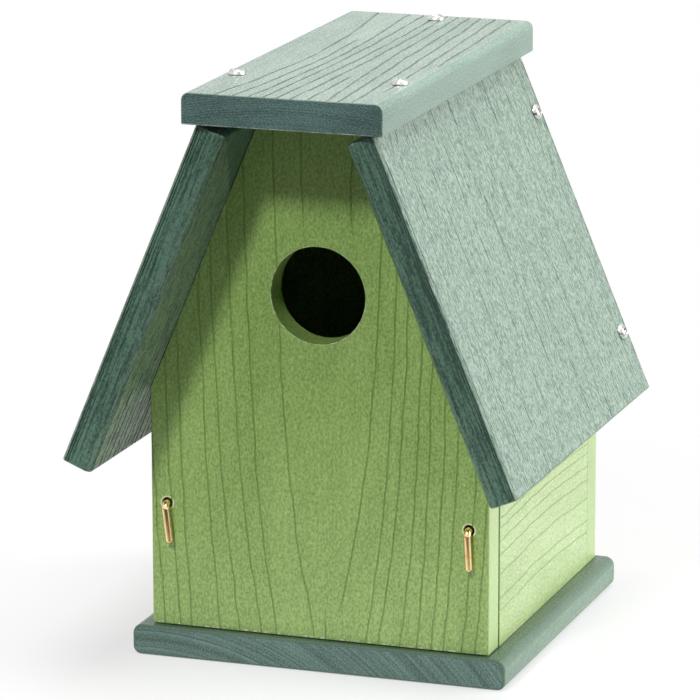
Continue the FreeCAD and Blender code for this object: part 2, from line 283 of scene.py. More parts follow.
class NodeTool:
    """A geometry node tree with named inputs, which is run on an object to give a plain mesh."""

    # The inputs that size a screw thread
    THREAD_SIZES = ("Core Radius", "Thread Depth", "Thread Pitch", "Thread Length", "Thread Base")
    # A thread's points in one turn, and the corners of its ridge's section
    THREAD_STEPS = 20
    RIDGE_CORNERS = 4

    def __init__(self, name: str) -> None:
        """Makes a tree with one geometry output.

        Args:
            name: the tree's name.
        """
        self.tree = bpy.data.node_groups.new(name, "GeometryNodeTree")
        self.tree.interface.new_socket("Geometry", in_out="OUTPUT", socket_type="NodeSocketGeometry")
        self.sheet = NodeSheet(self.tree)
        self.source = self.tree.nodes.new("NodeGroupInput")
        self.keys: dict[str, str] = {}

    def ask(self, name: str, kind: str) -> Value:
        """Adds a named input.

        Args:
            name: the input's name.
            kind: the kind of socket, such as Float, Object or Geometry.

        Returns:
            The input as a value of the tree.
        """
        socket = self.tree.interface.new_socket(name, in_out="INPUT", socket_type=f"NodeSocket{kind}")
        self.keys[name] = socket.identifier
        return Value(self.sheet, NodeSheet.pick(self.source.outputs, socket.identifier))

    def ask_object(self, name: str) -> Value:
        """Adds a named object input and returns that object's geometry."""
        return self.sheet.add("GeometryNodeObjectInfo", {}, {"Object": self.ask(name, "Object")}, "Geometry")

    def named(self, name: str, kind: str = "FLOAT") -> Value:
        """Reads what the geometry carries by a name: a number, or another kind of value."""
        settings = {"data_type": kind}
        return self.sheet.add("GeometryNodeInputNamedAttribute", settings, {"Name": name}, "Attribute")

    def cut(self, solid: Value, cutters: Sequence[Value]) -> Value:
        """Takes cutters away from a solid."""
        return self.combine(Combining.CUT, solid, cutters)

    def combine(self, way: Combining, solid: Value | None, others: Sequence[Value]) -> Value:
        """Combines closed meshes.

        Args:
            way: how they are combined.
            solid: the mesh that the others are cut from, or None where all are joined.
            others: the other meshes.

        Returns:
            One closed mesh.
        """
        settings = {"operation": way.value, "solver": "MANIFOLD"}
        result = self.sheet.add("GeometryNodeMeshBoolean", settings, {"Mesh 1": solid} if solid else {})
        socket = NodeSheet.pick(result.socket.node.inputs, "Mesh 2")
        for other in others:
            self.sheet.feed(socket, other)
        return result

    def ask_ridge(self) -> Value:
        """Adds the inputs that size a screw thread about Z, and makes the thread's ridge.

        Returns:
            The ridge as a closed mesh.
        """
        sheet = self.sheet
        radius, depth, pitch, length, base = (self.ask(name, "Float") for name in self.THREAD_SIZES)
        spiral = sheet.add("GeometryNodeCurveSpiral", {}, {
            "Resolution": self.THREAD_STEPS, "Rotations": length / pitch,
            "Start Radius": radius, "End Radius": radius, "Height": length})
        spiral = sheet.add("GeometryNodeSetCurveNormal", {"mode": "Z_UP"}, {"Curve": spiral})
        ridge = sheet.add("GeometryNodeCurvePrimitiveCircle", {"mode": "RADIUS"},
                          {"Resolution": self.RIDGE_CORNERS, "Radius": depth})
        swept = sheet.add("GeometryNodeCurveToMesh", {},
                          {"Curve": spiral, "Profile Curve": ridge, "Fill Caps": True})
        lift = sheet.add("ShaderNodeCombineXYZ", {}, {"Z": base})
        return sheet.add("GeometryNodeTransform", {}, {"Geometry": swept, "Translation": lift})

    def deliver(self, geometry: Value, materials: Sequence[tuple[Value, Value | None]]) -> None:
        """Ends the tree: realizes the instances and sets the materials.

        Args:
            geometry: what the tree has made.
            materials: each material with the faces it goes on, or None for every face.
        """
        result = self.sheet.add("GeometryNodeRealizeInstances", {}, {"Geometry": geometry})
        for material, where in materials:
            inputs = {"Geometry": result, "Material": material}
            if where:
                inputs["Selection"] = where
            result = self.sheet.add("GeometryNodeSetMaterial", {}, inputs)
        self.sheet.add("NodeGroupOutput", {}, {0: result})

    def run(self, bench: bpy.types.Object, settings: dict[str, object]) -> bpy.types.Mesh:
        """Runs the tree on an object on the bench, which is used up.

        Args:
            bench: the object that the tree starts from.
            settings: the inputs' values by name; objects among them are used up too.

        Returns:
            The result as a plain mesh.
        """
        modifier = bench.modifiers.new(self.tree.name, "NODES")
        modifier.node_group = self.tree
        for name, value in settings.items():
            modifier[self.keys[name]] = value
        evaluated = bench.evaluated_get(bpy.context.evaluated_depsgraph_get())
        mesh = bpy.data.meshes.new_from_object(evaluated)
        bench.modifiers.remove(modifier)
        for item in (bench, *settings.values()):
            if isinstance(item, bpy.types.Object):
                bpy.data.objects.remove(item)
        return mesh


# Finishes
def paint(colour: Rgb) -> tuple[float, float, float, float]:
    """Returns a written colour, 0 to 255 a channel, as the linear colour that a socket takes."""
    return (*Color([level / FULL_LEVEL for level in colour]).from_srgb_to_scene_linear(), 1.0)


@dataclass(frozen=True)
class BoardFinish:
    """One surface of a recycled-plastic board: flecks, streaks along the grain and dark grain lines.

    Sizes are along the grain, across it and through the board. Strengths are shares of the way from the
    dark tone to the light one. A rim's break is where in the noise its pale colour starts and is full; that colour
    is rubbed wear, and on some boards also painted light.
    """

    name: str
    dark: Rgb
    light: Rgb
    line: Rgb
    rim: Rgb
    fleck_size: tuple[float, float, float] = (1.7, 1.0, 1.0)
    fleck_strength: float = 1.0
    streak_size: tuple[float, float, float] = (26.0, 1.3, 1.3)
    streak_strength: float = 0.5
    cloud_size: tuple[float, float, float] = (60.0, 22.0, 22.0)
    cloud_strength: float = 0.6
    saw_strength: float = 0.0
    saw_pitch: float = 0.6
    saw_centre: tuple[float, float, float] = (0.0, 70.0, -110.0)
    line_share: float = 0.5
    rim_share: float = 0.7
    rim_size: tuple[float, float, float] = (5.0, 0.5, 0.5)
    rim_break: Flat = (0.4, 0.62)
    roughness: float = 0.5
    roughness_swing: float = 0.3
    relief: float = 0.12
    coat: float = 0.6
    coat_roughness: float = 0.35

    # The light tone's share where nothing varies it, and how shiny and how dull the surface can be
    MIDDLE_TONE = 0.5
    ROUGHNESS_LIMITS = (0.2, 1.0)
    # The size of the swings in a saw's path
    SAW_DRIFT = (9.0, 9.0, 9.0)

    def build(self) -> bpy.types.Material:
        """Makes the material, on the coordinates that the board had on the bench.

        Returns:
            The material.
        """
        sheet = MaterialSheet(self.name)
        bench = sheet.attribute("bench", "Vector")
        fleck = sheet.swing(sheet.stretched(bench, self.fleck_size), *FINE_NOISE)
        streak = sheet.swing(sheet.stretched(bench, self.streak_size), *FINE_NOISE)
        cloud = sheet.swing(sheet.stretched(bench, self.cloud_size))
        grain = fleck * self.fleck_strength + streak * self.streak_strength
        if self.saw_strength:
            grain = grain + self.saw_marks(sheet, bench) * self.saw_strength
        tone = grain + cloud * self.cloud_strength + self.MIDDLE_TONE
        colour = sheet.mix(tone, paint(self.dark), paint(self.light))
        colour = sheet.mix(sheet.attribute("groove") * self.line_share, colour, paint(self.line))
        # Pale rims: rubbed wear on bores and burrs, and on the front panel's slopes also painted light that lifts
        # the shade of the seam
        broken = sheet.noise(sheet.stretched(bench, self.rim_size)).rise(*self.rim_break)
        rubbed = (sheet.attribute("rim") * 2.0 - 1.0 + broken).between(0.0, 1.0)
        colour = sheet.mix(rubbed * self.rim_share, colour, paint(self.rim))
        dullness = (self.roughness - grain * self.roughness_swing).between(*self.ROUGHNESS_LIMITS)
        bump = sheet.add("ShaderNodeBump", {}, {"Distance": self.relief * MM, "Height": grain}, "Normal")
        return sheet.show(sheet.add("ShaderNodeBsdfPrincipled", {}, {
            "Base Color": colour,
            "Roughness": dullness,
            "Coat Weight": self.coat,
            "Coat Roughness": self.coat_roughness,
            "Normal": bump,
        }))

    def saw_marks(self, sheet: MaterialSheet, bench: Value) -> Value:
        """Draws the arcs that a round saw leaves, about a centre well outside the board.

        Args:
            sheet: the material's sheet.
            bench: the bench coordinates.

        Returns:
            The marks, about 0 in the middle.
        """
        away = sheet.add("ShaderNodeVectorMath", {"operation": "SUBTRACT"}, {0: bench, 1: self.saw_centre})
        in_plane = sheet.add("ShaderNodeVectorMath", {"operation": "MULTIPLY"}, {0: away, 1: (0.0, 1.0, 1.0)})
        radius = sheet.add("ShaderNodeVectorMath", {"operation": "LENGTH"}, {0: in_plane}, "Value")
        drift = sheet.noise(sheet.stretched(bench, self.SAW_DRIFT))
        rings = sheet.add("ShaderNodeCombineXYZ", {}, {"X": radius / self.saw_pitch, "Y": drift})
        return sheet.swing(rings)


@dataclass(frozen=True)
class MetalFinish:
    """Bare metal with faint cloudy scuffs."""

    name: str
    bright: Rgb
    dull: Rgb
    roughness: float
    roughness_swing: float = 0.08
    scuff_size: float = 2.5
    scuff_edge: Flat = (0.4, 0.73)
    relief: float = 0.004

    # The detail and the roughness of the scuffs' noise
    SCUFF_NOISE = (4.0, 0.65)

    def build(self) -> bpy.types.Material:
        """Makes the material on object coordinates.

        Returns:
            The material.
        """
        sheet = MaterialSheet(self.name)
        place = sheet.add("ShaderNodeTexCoord", {}, {}, "Object")
        size = Vector((1.0, 1.0, 1.0)) * self.scuff_size * MM
        scuff = sheet.noise(sheet.stretched(place, size), *self.SCUFF_NOISE)
        share = scuff.rise(*self.scuff_edge)
        bump = sheet.add("ShaderNodeBump", {}, {"Distance": self.relief * MM, "Height": scuff}, "Normal")
        return sheet.show(sheet.add("ShaderNodeBsdfPrincipled", {}, {
            "Base Color": sheet.mix(share, paint(self.bright), paint(self.dull)),
            "Metallic": 1.0,
            "Roughness": self.roughness + share * self.roughness_swing,
            "Normal": bump,
        }))


@dataclass(frozen=True)
class FloorFinish:
    """A pale floor that looks white and keeps the house's shadow, like a small sheet of paper on a table.

    Attributes:
        name: the material's name.
        pale: the floor's colour near the house, where its light falls back on the house.
        dim: its colour further off.
        sheet_edge: where the pale part ends and the dim part starts, in metres from the house's middle.
        shadow_share: how much of the white the house's shadow can take away.
        shadow_edge: where that share starts to fall and where it ends.
        front_edge: where, from front to back, the floor starts to mirror white and where it is all white.
    """

    name: str = "pale_floor"
    pale: Rgb = (244, 244, 244)
    dim: Rgb = (62, 62, 62)
    sheet_edge: Flat = (0.2, 0.32)
    shadow_share: float = 0.4
    shadow_edge: Flat = (0.16, 0.34)
    front_edge: Flat = (-0.30, -0.16)

    def build(self) -> bpy.types.Material:
        """Makes the material: a dull surface that gives part of its white itself, for the camera.

        Returns:
            The material.
        """
        sheet = MaterialSheet(self.name)
        place = sheet.add("ShaderNodeTexCoord", {}, {}, "Object")
        away = sheet.add("ShaderNodeVectorMath", {"operation": "LENGTH"}, {0: place}, "Value")
        behind = sheet.add("ShaderNodeSeparateXYZ", {}, {"Vector": place}, "Y")
        seen = sheet.ray("Is Camera Ray")
        mirrored = sheet.ray("Is Glossy Ray") + sheet.ray("Is Transmission Ray")
        near = 1.0 - away.rise(*self.sheet_edge)
        colour = sheet.mix((near + seen).between(0.0, 1.0), paint(self.dim), paint(self.pale))
        dull = sheet.add("ShaderNodeBsdfDiffuse", {}, {"Color": colour})
        glow = sheet.add("ShaderNodeEmission", {}, {"Color": (1.0, 1.0, 1.0, 1.0), "Strength": 1.0})
        plain = 1.0 - self.shadow_share * (1.0 - away.rise(*self.shadow_edge))
        white = seen * plain + mirrored * behind.rise(*self.front_edge)
        return sheet.show(sheet.add("ShaderNodeMixShader", {}, {0: white, 1: dull, 2: glow}))


@dataclass(frozen=True)
class BoardStock:
    """A kind of board: the record's slot and the finish of each of its surfaces.

    Where no finish is given for them, rounds and slopes have the edges' and the other face the good face's.
    """

    slot: str
    face: BoardFinish
    edge: BoardFinish
    end: BoardFinish
    rounds: BoardFinish | None = None
    back: BoardFinish | None = None

    def materials(self) -> dict[Surface, bpy.types.Material]:
        """Makes the materials of all its surfaces.

        Returns:
            Each surface's material.
        """
        face, edge, end = (finish.build() for finish in (self.face, self.edge, self.end))
        rounds = self.rounds.build() if self.rounds else edge
        back = self.back.build() if self.back else face
        return dict(zip(Surface, (face, edge, end, rounds, back)))


# The green's rim colour is rubbed wear on bores and burrs, and painted light along the front panel's slopes
GREEN = BoardFinish(
    "green_face", dark=(115, 149, 61), light=(176, 209, 122), line=(84, 112, 8), rim=(228, 244, 202),
    fleck_size=(1.3, 0.8, 0.8), fleck_strength=2.35, cloud_strength=0.7, line_share=0.45, coat=1.0,
    rim_share=0.85, rim_size=(2.0, 2.0, 2.0), rim_break=(0.5, 0.6))
GREEN_EDGE = replace(GREEN, name="green_edge", dark=(124, 152, 76), light=(184, 211, 138),
                     streak_strength=0.2, fleck_strength=0.9)
GREEN_SAWN = replace(GREEN, name="green_sawn", streak_strength=0.0, saw_strength=0.4)
GREEN_STOCK = BoardStock("green_board", face=GREEN, edge=GREEN_EDGE, end=GREEN_SAWN)
WALL_STOCK = BoardStock(
    "green_board",
    face=replace(GREEN, name="wall_face", dark=(131, 158, 82), light=(188, 213, 146), fleck_strength=2.2,
                 line_share=0.36),
    edge=replace(GREEN_EDGE, name="wall_edge"),
    end=replace(GREEN_SAWN, name="wall_sawn"))
DARK = BoardFinish(
    "dark_face", dark=(66, 98, 84), light=(146, 172, 156), line=(34, 58, 48), rim=(190, 210, 192),
    fleck_size=(1.2, 0.7, 0.7), fleck_strength=2.6, streak_strength=0.6, line_share=0.85)
DARK_EDGE = replace(DARK, name="dark_edge", streak_strength=0.3, fleck_strength=1.4)
DARK_SAWN = replace(DARK, name="dark_sawn", dark=(48, 81, 76), light=(112, 146, 140), streak_strength=0.0,
                    fleck_strength=1.8, saw_strength=1.5)
CAP_STOCK = BoardStock(
    "dark_board",
    face=replace(DARK, name="cap_face", dark=(72, 102, 90), light=(170, 186, 172), line=(40, 70, 55),
                 line_share=0.76),
    edge=replace(DARK_EDGE, name="cap_edge"),
    end=replace(DARK_SAWN, name="cap_sawn", rim=(224, 236, 222), rim_size=(1.0, 6.0, 1.0),
                fleck_strength=2.6, cloud_strength=1.2, saw_strength=1.3, saw_pitch=0.35,
                saw_centre=(0.0, -5.0, 40.0)))
# The base's flat faces and its rounds are painted darker than the roof boards' dark stock: painted shade on the
# top, under the walls, the front panel and the roof's overhang
BASE_STOCK = BoardStock(
    "dark_board",
    face=replace(DARK, name="floor_face", dark=(48, 75, 60), light=(106, 130, 108)),
    edge=replace(DARK_EDGE, name="floor_edge", dark=(52, 86, 66), light=(116, 146, 122)),
    end=replace(DARK_SAWN, name="floor_sawn", dark=(46, 78, 70), light=(113, 147, 138), fleck_strength=2.4,
                saw_strength=1.8, saw_pitch=0.85),
    # Painted shade: the rounds are darker still, where the overhang keeps the lamps off them
    rounds=replace(DARK_EDGE, name="floor_round", dark=(40, 72, 52), light=(92, 126, 100)))
COMBED_EDGE = replace(
    DARK, name="combed_edge", dark=(28, 66, 52), light=(103, 143, 122), relief=0.2,
    fleck_size=(1.4, 0.8, 0.8), fleck_strength=2.3, streak_size=(14.0, 1.0, 1.0), streak_strength=2.6,
    cloud_strength=0.9)
COMBED_STOCK = BoardStock(
    "dark_board",
    face=replace(DARK, name="combed_face", dark=(62, 94, 77), light=(146, 169, 150),
                 fleck_size=(1.5, 0.85, 0.85), streak_size=(3.0, 0.8, 0.8), streak_strength=2.4,
                 cloud_strength=0.2, line_share=0.5),
    edge=COMBED_EDGE,
    end=replace(DARK_SAWN, name="combed_sawn", saw_strength=0.8),
    rounds=replace(COMBED_EDGE, name="combed_round", dark=(36, 74, 57), light=(112, 148, 124),
                   streak_strength=2.8),
    back=replace(DARK, name="combed_back", dark=(52, 85, 67), light=(160, 188, 162),
                 fleck_size=(1.5, 0.85, 0.85), fleck_strength=3.4, streak_size=(6.0, 0.9, 0.9),
                 streak_strength=3.2, cloud_strength=0.4, line_share=0.45))
STEEL = MetalFinish("bright_steel", bright=(226, 226, 224), dull=(150, 150, 148), roughness=0.2)
BRASS = MetalFinish("bright_brass", bright=(254, 224, 168), dull=(242, 192, 126), roughness=0.13)


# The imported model, in millimetres
@dataclass(frozen=True)
class CadNode:
    """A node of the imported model, which gives the pieces their sizes and places."""

    name: str

    @property
    def low(self) -> Vector:
        """The lowest corner of its box."""
        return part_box(self.name)[0] / MM

    @property
    def high(self) -> Vector:
        """The highest corner of its box."""
        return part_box(self.name)[1] / MM

    @property
    def middle(self) -> Vector:
        """The middle of its box."""
        return (self.low + self.high) / 2

    def points(self) -> list[Vector]:
        """Every corner of its surface."""
        return [vertex.co / MM for vertex in frame["nodes"][self.name].data.vertices]

    def reach(self, axis: int, other: int, level: float) -> float:
        """Returns how far it reaches along one axis where another axis is at a level."""
        return max(point[axis] for point in self.points() if abs(point[other] - level) < SAME_LEVEL)

    def extent(self, way: Vector) -> tuple[float, float]:
        """Returns how far it reaches against a direction and along it."""
        along = [point.dot(way) for point in self.points()]
        return min(along), max(along)


def mount(name: str) -> dict:
    """Returns one of the record's mounts."""
    return next(item for item in frame["record"]["mounts"] if item["name"] == name)


def joint_place(name: str) -> Vector:
    """Returns where a joint's axis passes."""
    return Vector(next(item for item in frame["joints"] if item["name"] == name)["pos_m"]) / MM


# Outlines and blanks

# The straight lengths that stand for a rim's rounding
EASE_STEPS = 3
# A face whose direction has a part larger than this belongs to no rim
FLAT_FACING = 0.99
# A face whose direction has all three parts larger than this lies on the rim of a slope
SLANT_FACING = 0.01


def rounded(corners: Sequence[Flat], radii: Sequence[float], steps: int) -> list[Flat]:
    """Rounds the corners of a convex outline.

    Args:
        corners: the corners, anticlockwise.
        radii: each corner's radius.
        steps: the straight lengths that stand for each round.

    Returns:
        The rounded outline's points.
    """
    outline = []
    for number, radius in enumerate(radii):
        before, corner, after = (Vector(corners[(number + step) % len(corners)]) for step in (-1, 0, 1))
        back, ahead = (before - corner).normalized(), (after - corner).normalized()
        half = back.angle(ahead) / 2
        middle = corner + (back + ahead).normalized() * radius / math.sin(half)
        spoke = corner + back * radius / math.tan(half) - middle
        for step in range(steps + 1):
            turn = Matrix.Rotation((math.pi - 2 * half) * step / steps, 2)
            outline.append(tuple(middle + turn @ spoke))
    return outline


def inset(outline: Sequence[Flat], depth: float) -> list[Flat]:
    """Moves every side of a convex outline inwards.

    Args:
        outline: the outline's points, anticlockwise.
        depth: how far the sides move.

    Returns:
        The points of the smaller outline.
    """
    moved = []
    for number, corner in enumerate(outline):
        before, after = Vector(outline[number - 1]), Vector(outline[(number + 1) % len(outline)])
        sides = ((Vector(corner) - before).normalized(), (after - Vector(corner)).normalized())
        first, second = (Vector((-side.y, side.x)) for side in sides)
        moved.append(tuple(Vector(corner) + (first + second) * depth / (1 + first.dot(second))))
    return moved


def anticlockwise(corners: Sequence[Flat]) -> list[Flat]:
    """Puts the corners of an outline in anticlockwise order.

    Args:
        corners: the corners, either way round.

    Returns:
        The same corners, the right way round.
    """
    pairs = zip(corners, [*corners[1:], corners[0]])
    area = sum(here[0] * there[1] - there[0] * here[1] for here, there in pairs)
    return list(corners) if area > 0 else list(reversed(corners))


def quarter_turn() -> list[float]:
    """Returns the angles at the corners of a rim's rounding."""
    return [math.pi / 2 * step / EASE_STEPS for step in range(EASE_STEPS + 1)]


def skinned(rings: Sequence[Sequence[Vector]]) -> bmesh.types.BMesh:
    """Makes a closed mesh through rings that have as many places each.

    Args:
        rings: the places in millimetres, from one end to the other.

    Returns:
        The mesh in metres.
    """
    mesh = bmesh.new()
    corners = [[mesh.verts.new(place * MM) for place in ring] for ring in rings]
    for lower, upper in zip(corners, corners[1:]):
        for here in range(len(lower)):
            there = (here + 1) % len(lower)
            mesh.faces.new((lower[here], lower[there], upper[there], upper[here]))
    mesh.faces.new(reversed(corners[0]))
    mesh.faces.new(corners[-1])
    return mesh


def eased_prism(outline: Sequence[Flat], span: Flat, ease: float,
                turn: Callable[[float, float, float], Vector]) -> bmesh.types.BMesh:
    """Makes a closed prism whose two rims are eased.

    Args:
        outline: the section, anticlockwise.
        span: where the prism starts and ends along its own axis.
        ease: the radius of the rims' rounding.
        turn: takes a point of the section and a place along the axis to the bench.

    Returns:
        The prism in metres, with its faces marked by surface.
    """
    levels = [(span[0] + ease * (1 - math.cos(angle)), ease * (1 - math.sin(angle)))
              for angle in quarter_turn()]
    levels += [(span[0] + span[1] - along, depth) for along, depth in reversed(levels)]
    mesh = skinned([[turn(*point, along) for point in inset(outline, depth)] for along, depth in levels])
    mark_surfaces(mesh)
    return mesh


def mark_surfaces(mesh: bmesh.types.BMesh) -> None:
    """Marks the faces of a blank as sawn ends, planed edges, good face, other face or rounds.

    Args:
        mesh: the blank on the bench.
    """
    mesh.normal_update()
    mesh.faces.layers.float.new("rim")
    cut = mesh.faces.layers.float.new("cut")
    for face in mesh.faces:
        surface = Surface.ROUND
        for part, square in zip(face.normal, (Surface.END, Surface.EDGE, Surface.FACE)):
            if abs(part) > FLAT_FACING:
                surface = square
        if face.normal.z < -FLAT_FACING:
            surface = Surface.BACK
        face[cut] = surface.value


def turned(profile: Sequence[Flat], steps: int, mesh: bmesh.types.BMesh | None = None,
           centre: Vector | None = None) -> bmesh.types.BMesh:
    """Turns a profile about an upright axis into a closed solid.

    Args:
        profile: pairs of radius and height from the bottom up; the two ends are on the axis.
        steps: the points of each ring.
        mesh: a mesh to add the solid to.
        centre: where the axis stands.

    Returns:
        The mesh in metres.
    """
    mesh = mesh or bmesh.new()
    centre = centre or Vector((0, 0, 0))
    rings = []
    for radius, height in profile:
        ways = [math.tau * step / steps for step in range(steps if radius else 1)]
        spots = [Vector((radius * math.cos(way), radius * math.sin(way), height)) for way in ways]
        rings.append([mesh.verts.new((centre + spot) * MM) for spot in spots])
    for lower, upper in zip(rings, rings[1:]):
        for here in range(steps):
            there = (here + 1) % steps
            corners = [lower[here % len(lower)], lower[there % len(lower)]]
            corners += [upper[there % len(upper)], upper[here % len(upper)]]
            mesh.faces.new(list(dict.fromkeys(corners)))
    return mesh


def on_bench(mesh: bmesh.types.BMesh, name: str) -> bpy.types.Object:
    """Puts a mesh into the scene as an object of its own.

    Args:
        mesh: the mesh, which is used up.
        name: the object's name.

    Returns:
        The object.
    """
    data = bpy.data.meshes.new(name)
    mesh.to_mesh(data)
    mesh.free()
    return add_object(data, name)


def add_object(mesh: bpy.types.Mesh, name: str) -> bpy.types.Object:
    """Links a mesh into the scene.

    Args:
        mesh: the object's mesh.
        name: the object's name.

    Returns:
        The object.
    """
    item = bpy.data.objects.new(name, mesh)
    bpy.context.scene.collection.objects.link(item)
    return item


# Cutters

# How far a cutter stands clear of a face that it would otherwise share, and runs past the board
CUT_CLEAR = 0.02
CUT_OVERRUN = 1.0
# How deep a rubbed strip or ring lies in its face
RUB_DEPTH = 0.06


@dataclass(frozen=True)
class Bore:
    """A round hole with eased rims.

    Attributes:
        centre: where it is on the bench.
        span: its ends through the board.
        radius: its radius.
        rim: the rounding of its rims.
        ring: how far a rubbed ring runs round it on the good face.
        rub: how far its rims are rubbed.
        steps: the points of its circle.
    """

    centre: Flat
    span: Flat
    radius: float
    rim: float
    ring: float = 0.0
    rub: float = 1.0
    steps: int = 64

    def add_cutter(self, mesh: bmesh.types.BMesh) -> None:
        """Adds the solid that cuts this hole, with flared ends that run past the board's faces.

        Args:
            mesh: the mesh of all the board's cutters.
        """
        low, high = self.span
        flare = [(self.radius + self.rim * (1 - math.cos(angle)), self.rim * (math.sin(angle) - 1))
                 for angle in quarter_turn()]
        wide = self.radius + self.rim
        lower = [(radius, low - height - CUT_CLEAR) for radius, height in reversed(flare)]
        top = high - RUB_DEPTH if self.ring else high + CUT_CLEAR
        upper = [(radius, top + height) for radius, height in flare]
        if self.ring:
            wide += self.ring
            upper.append((wide, top))
        ends = [(0.0, low - CUT_OVERRUN), (self.radius + self.rim, low - CUT_OVERRUN)]
        profile = ends + lower + upper + [(wide, high + CUT_OVERRUN), (0.0, high + CUT_OVERRUN)]
        before = len(mesh.faces)
        turned(profile, self.steps, mesh, Vector((*self.centre, 0.0)))
        mesh.faces.ensure_lookup_table()
        rim, cut = (mesh.faces.layers.float[name] for name in ("rim", "cut"))
        for face in mesh.faces[before:]:
            height = face.calc_center_median().z / MM
            face[cut] = Surface.END.value
            face[rim] = 0.0 if low + self.rim < height < high - self.rim else self.rub


@dataclass(frozen=True)
class Burr:
    """A narrow strip of a face that is rubbed pale.

    Attributes:
        low: the lowest corner of its box on the bench.
        high: the highest corner.
        surface: the kind of surface that it is part of.
        rub: how far it is rubbed.
    """

    low: Vector
    high: Vector
    surface: Surface
    rub: float

    def add_cutter(self, mesh: bmesh.types.BMesh) -> None:
        """Adds the box that cuts the strip.

        Args:
            mesh: the mesh of all the board's cutters.
        """
        middle, size = (self.low + self.high) / 2, self.high - self.low
        place = Matrix.Translation(middle * MM) @ Matrix.Diagonal(size * MM).to_4x4()
        corners = bmesh.ops.create_cube(mesh, size=1.0, matrix=place)["verts"]
        rim, cut = (mesh.faces.layers.float[name] for name in ("rim", "cut"))
        for face in {face for corner in corners for face in corner.link_faces}:
            face[cut] = self.surface.value
            face[rim] = self.rub


# Grain
@dataclass
class GrainLine:
    """One embossed line of the grain: its points on the bench and how it varies.

    Attributes:
        points: the line's points.
        gauge: its width as a share of the full groove's.
        sway: its share of the grain's wander.
        fade: how far it fades out in places, from 0 to 1.
        out: 1 on the good face, -1 on the other face and 0 on an edge.
        ink: its share of the colour that the finish gives to lines.
    """

    points: list[Vector]
    gauge: float = 1.0
    sway: float = 1.0
    fade: float = 0.12
    out: float = 1.0
    ink: float = 1.0

    NAMES = ("gauge", "sway", "fade", "out", "ink")


def line_object(lines: Sequence[GrainLine]) -> bpy.types.Object:
    """Makes one object of a board's grain lines, with how each varies as attributes of its points.

    Args:
        lines: the lines.

    Returns:
        The object, in metres.
    """
    mesh = bpy.data.meshes.new("grain_lines")
    points = [point * MM for line in lines for point in line.points]
    edges, start = [], 0
    for line in lines:
        edges += [(number, number + 1) for number in range(start, start + len(line.points) - 1)]
        start += len(line.points)
    mesh.from_pydata(points, edges, [])
    for name in GrainLine.NAMES:
        values = [getattr(line, name) for line in lines for _ in line.points]
        mesh.attributes.new(name, "FLOAT", "POINT").data.foreach_set("value", values)
    return add_object(mesh, "grain_lines")


@dataclass(frozen=True)
class GrainRule:
    """How a board's grain lines are cut.

    Attributes:
        width: the width of a full groove.
        depth: its depth.
        step: how far apart the points are that a groove is swept through.
        wander: how far a line strays to either side.
        wander_along: the length of a line's bends.
        wander_across: how far off the lines bend another way.
        fade_along: the length of a line's faded stretches.
        fade_across: how far off the lines fade elsewhere.
        lift: how far a faded line's cutter rises out of its face.
    """

    width: float = 0.85
    depth: float = 0.32
    step: float = 1.8
    wander: float = 1.5
    wander_along: float = 24.0
    wander_across: float = 30.0
    fade_along: float = 11.0
    fade_across: float = 3.0
    lift: float = 0.6

    # Where in the noise a line has faded out, and where it is full
    FADE_EDGE = (0.40, 0.54)


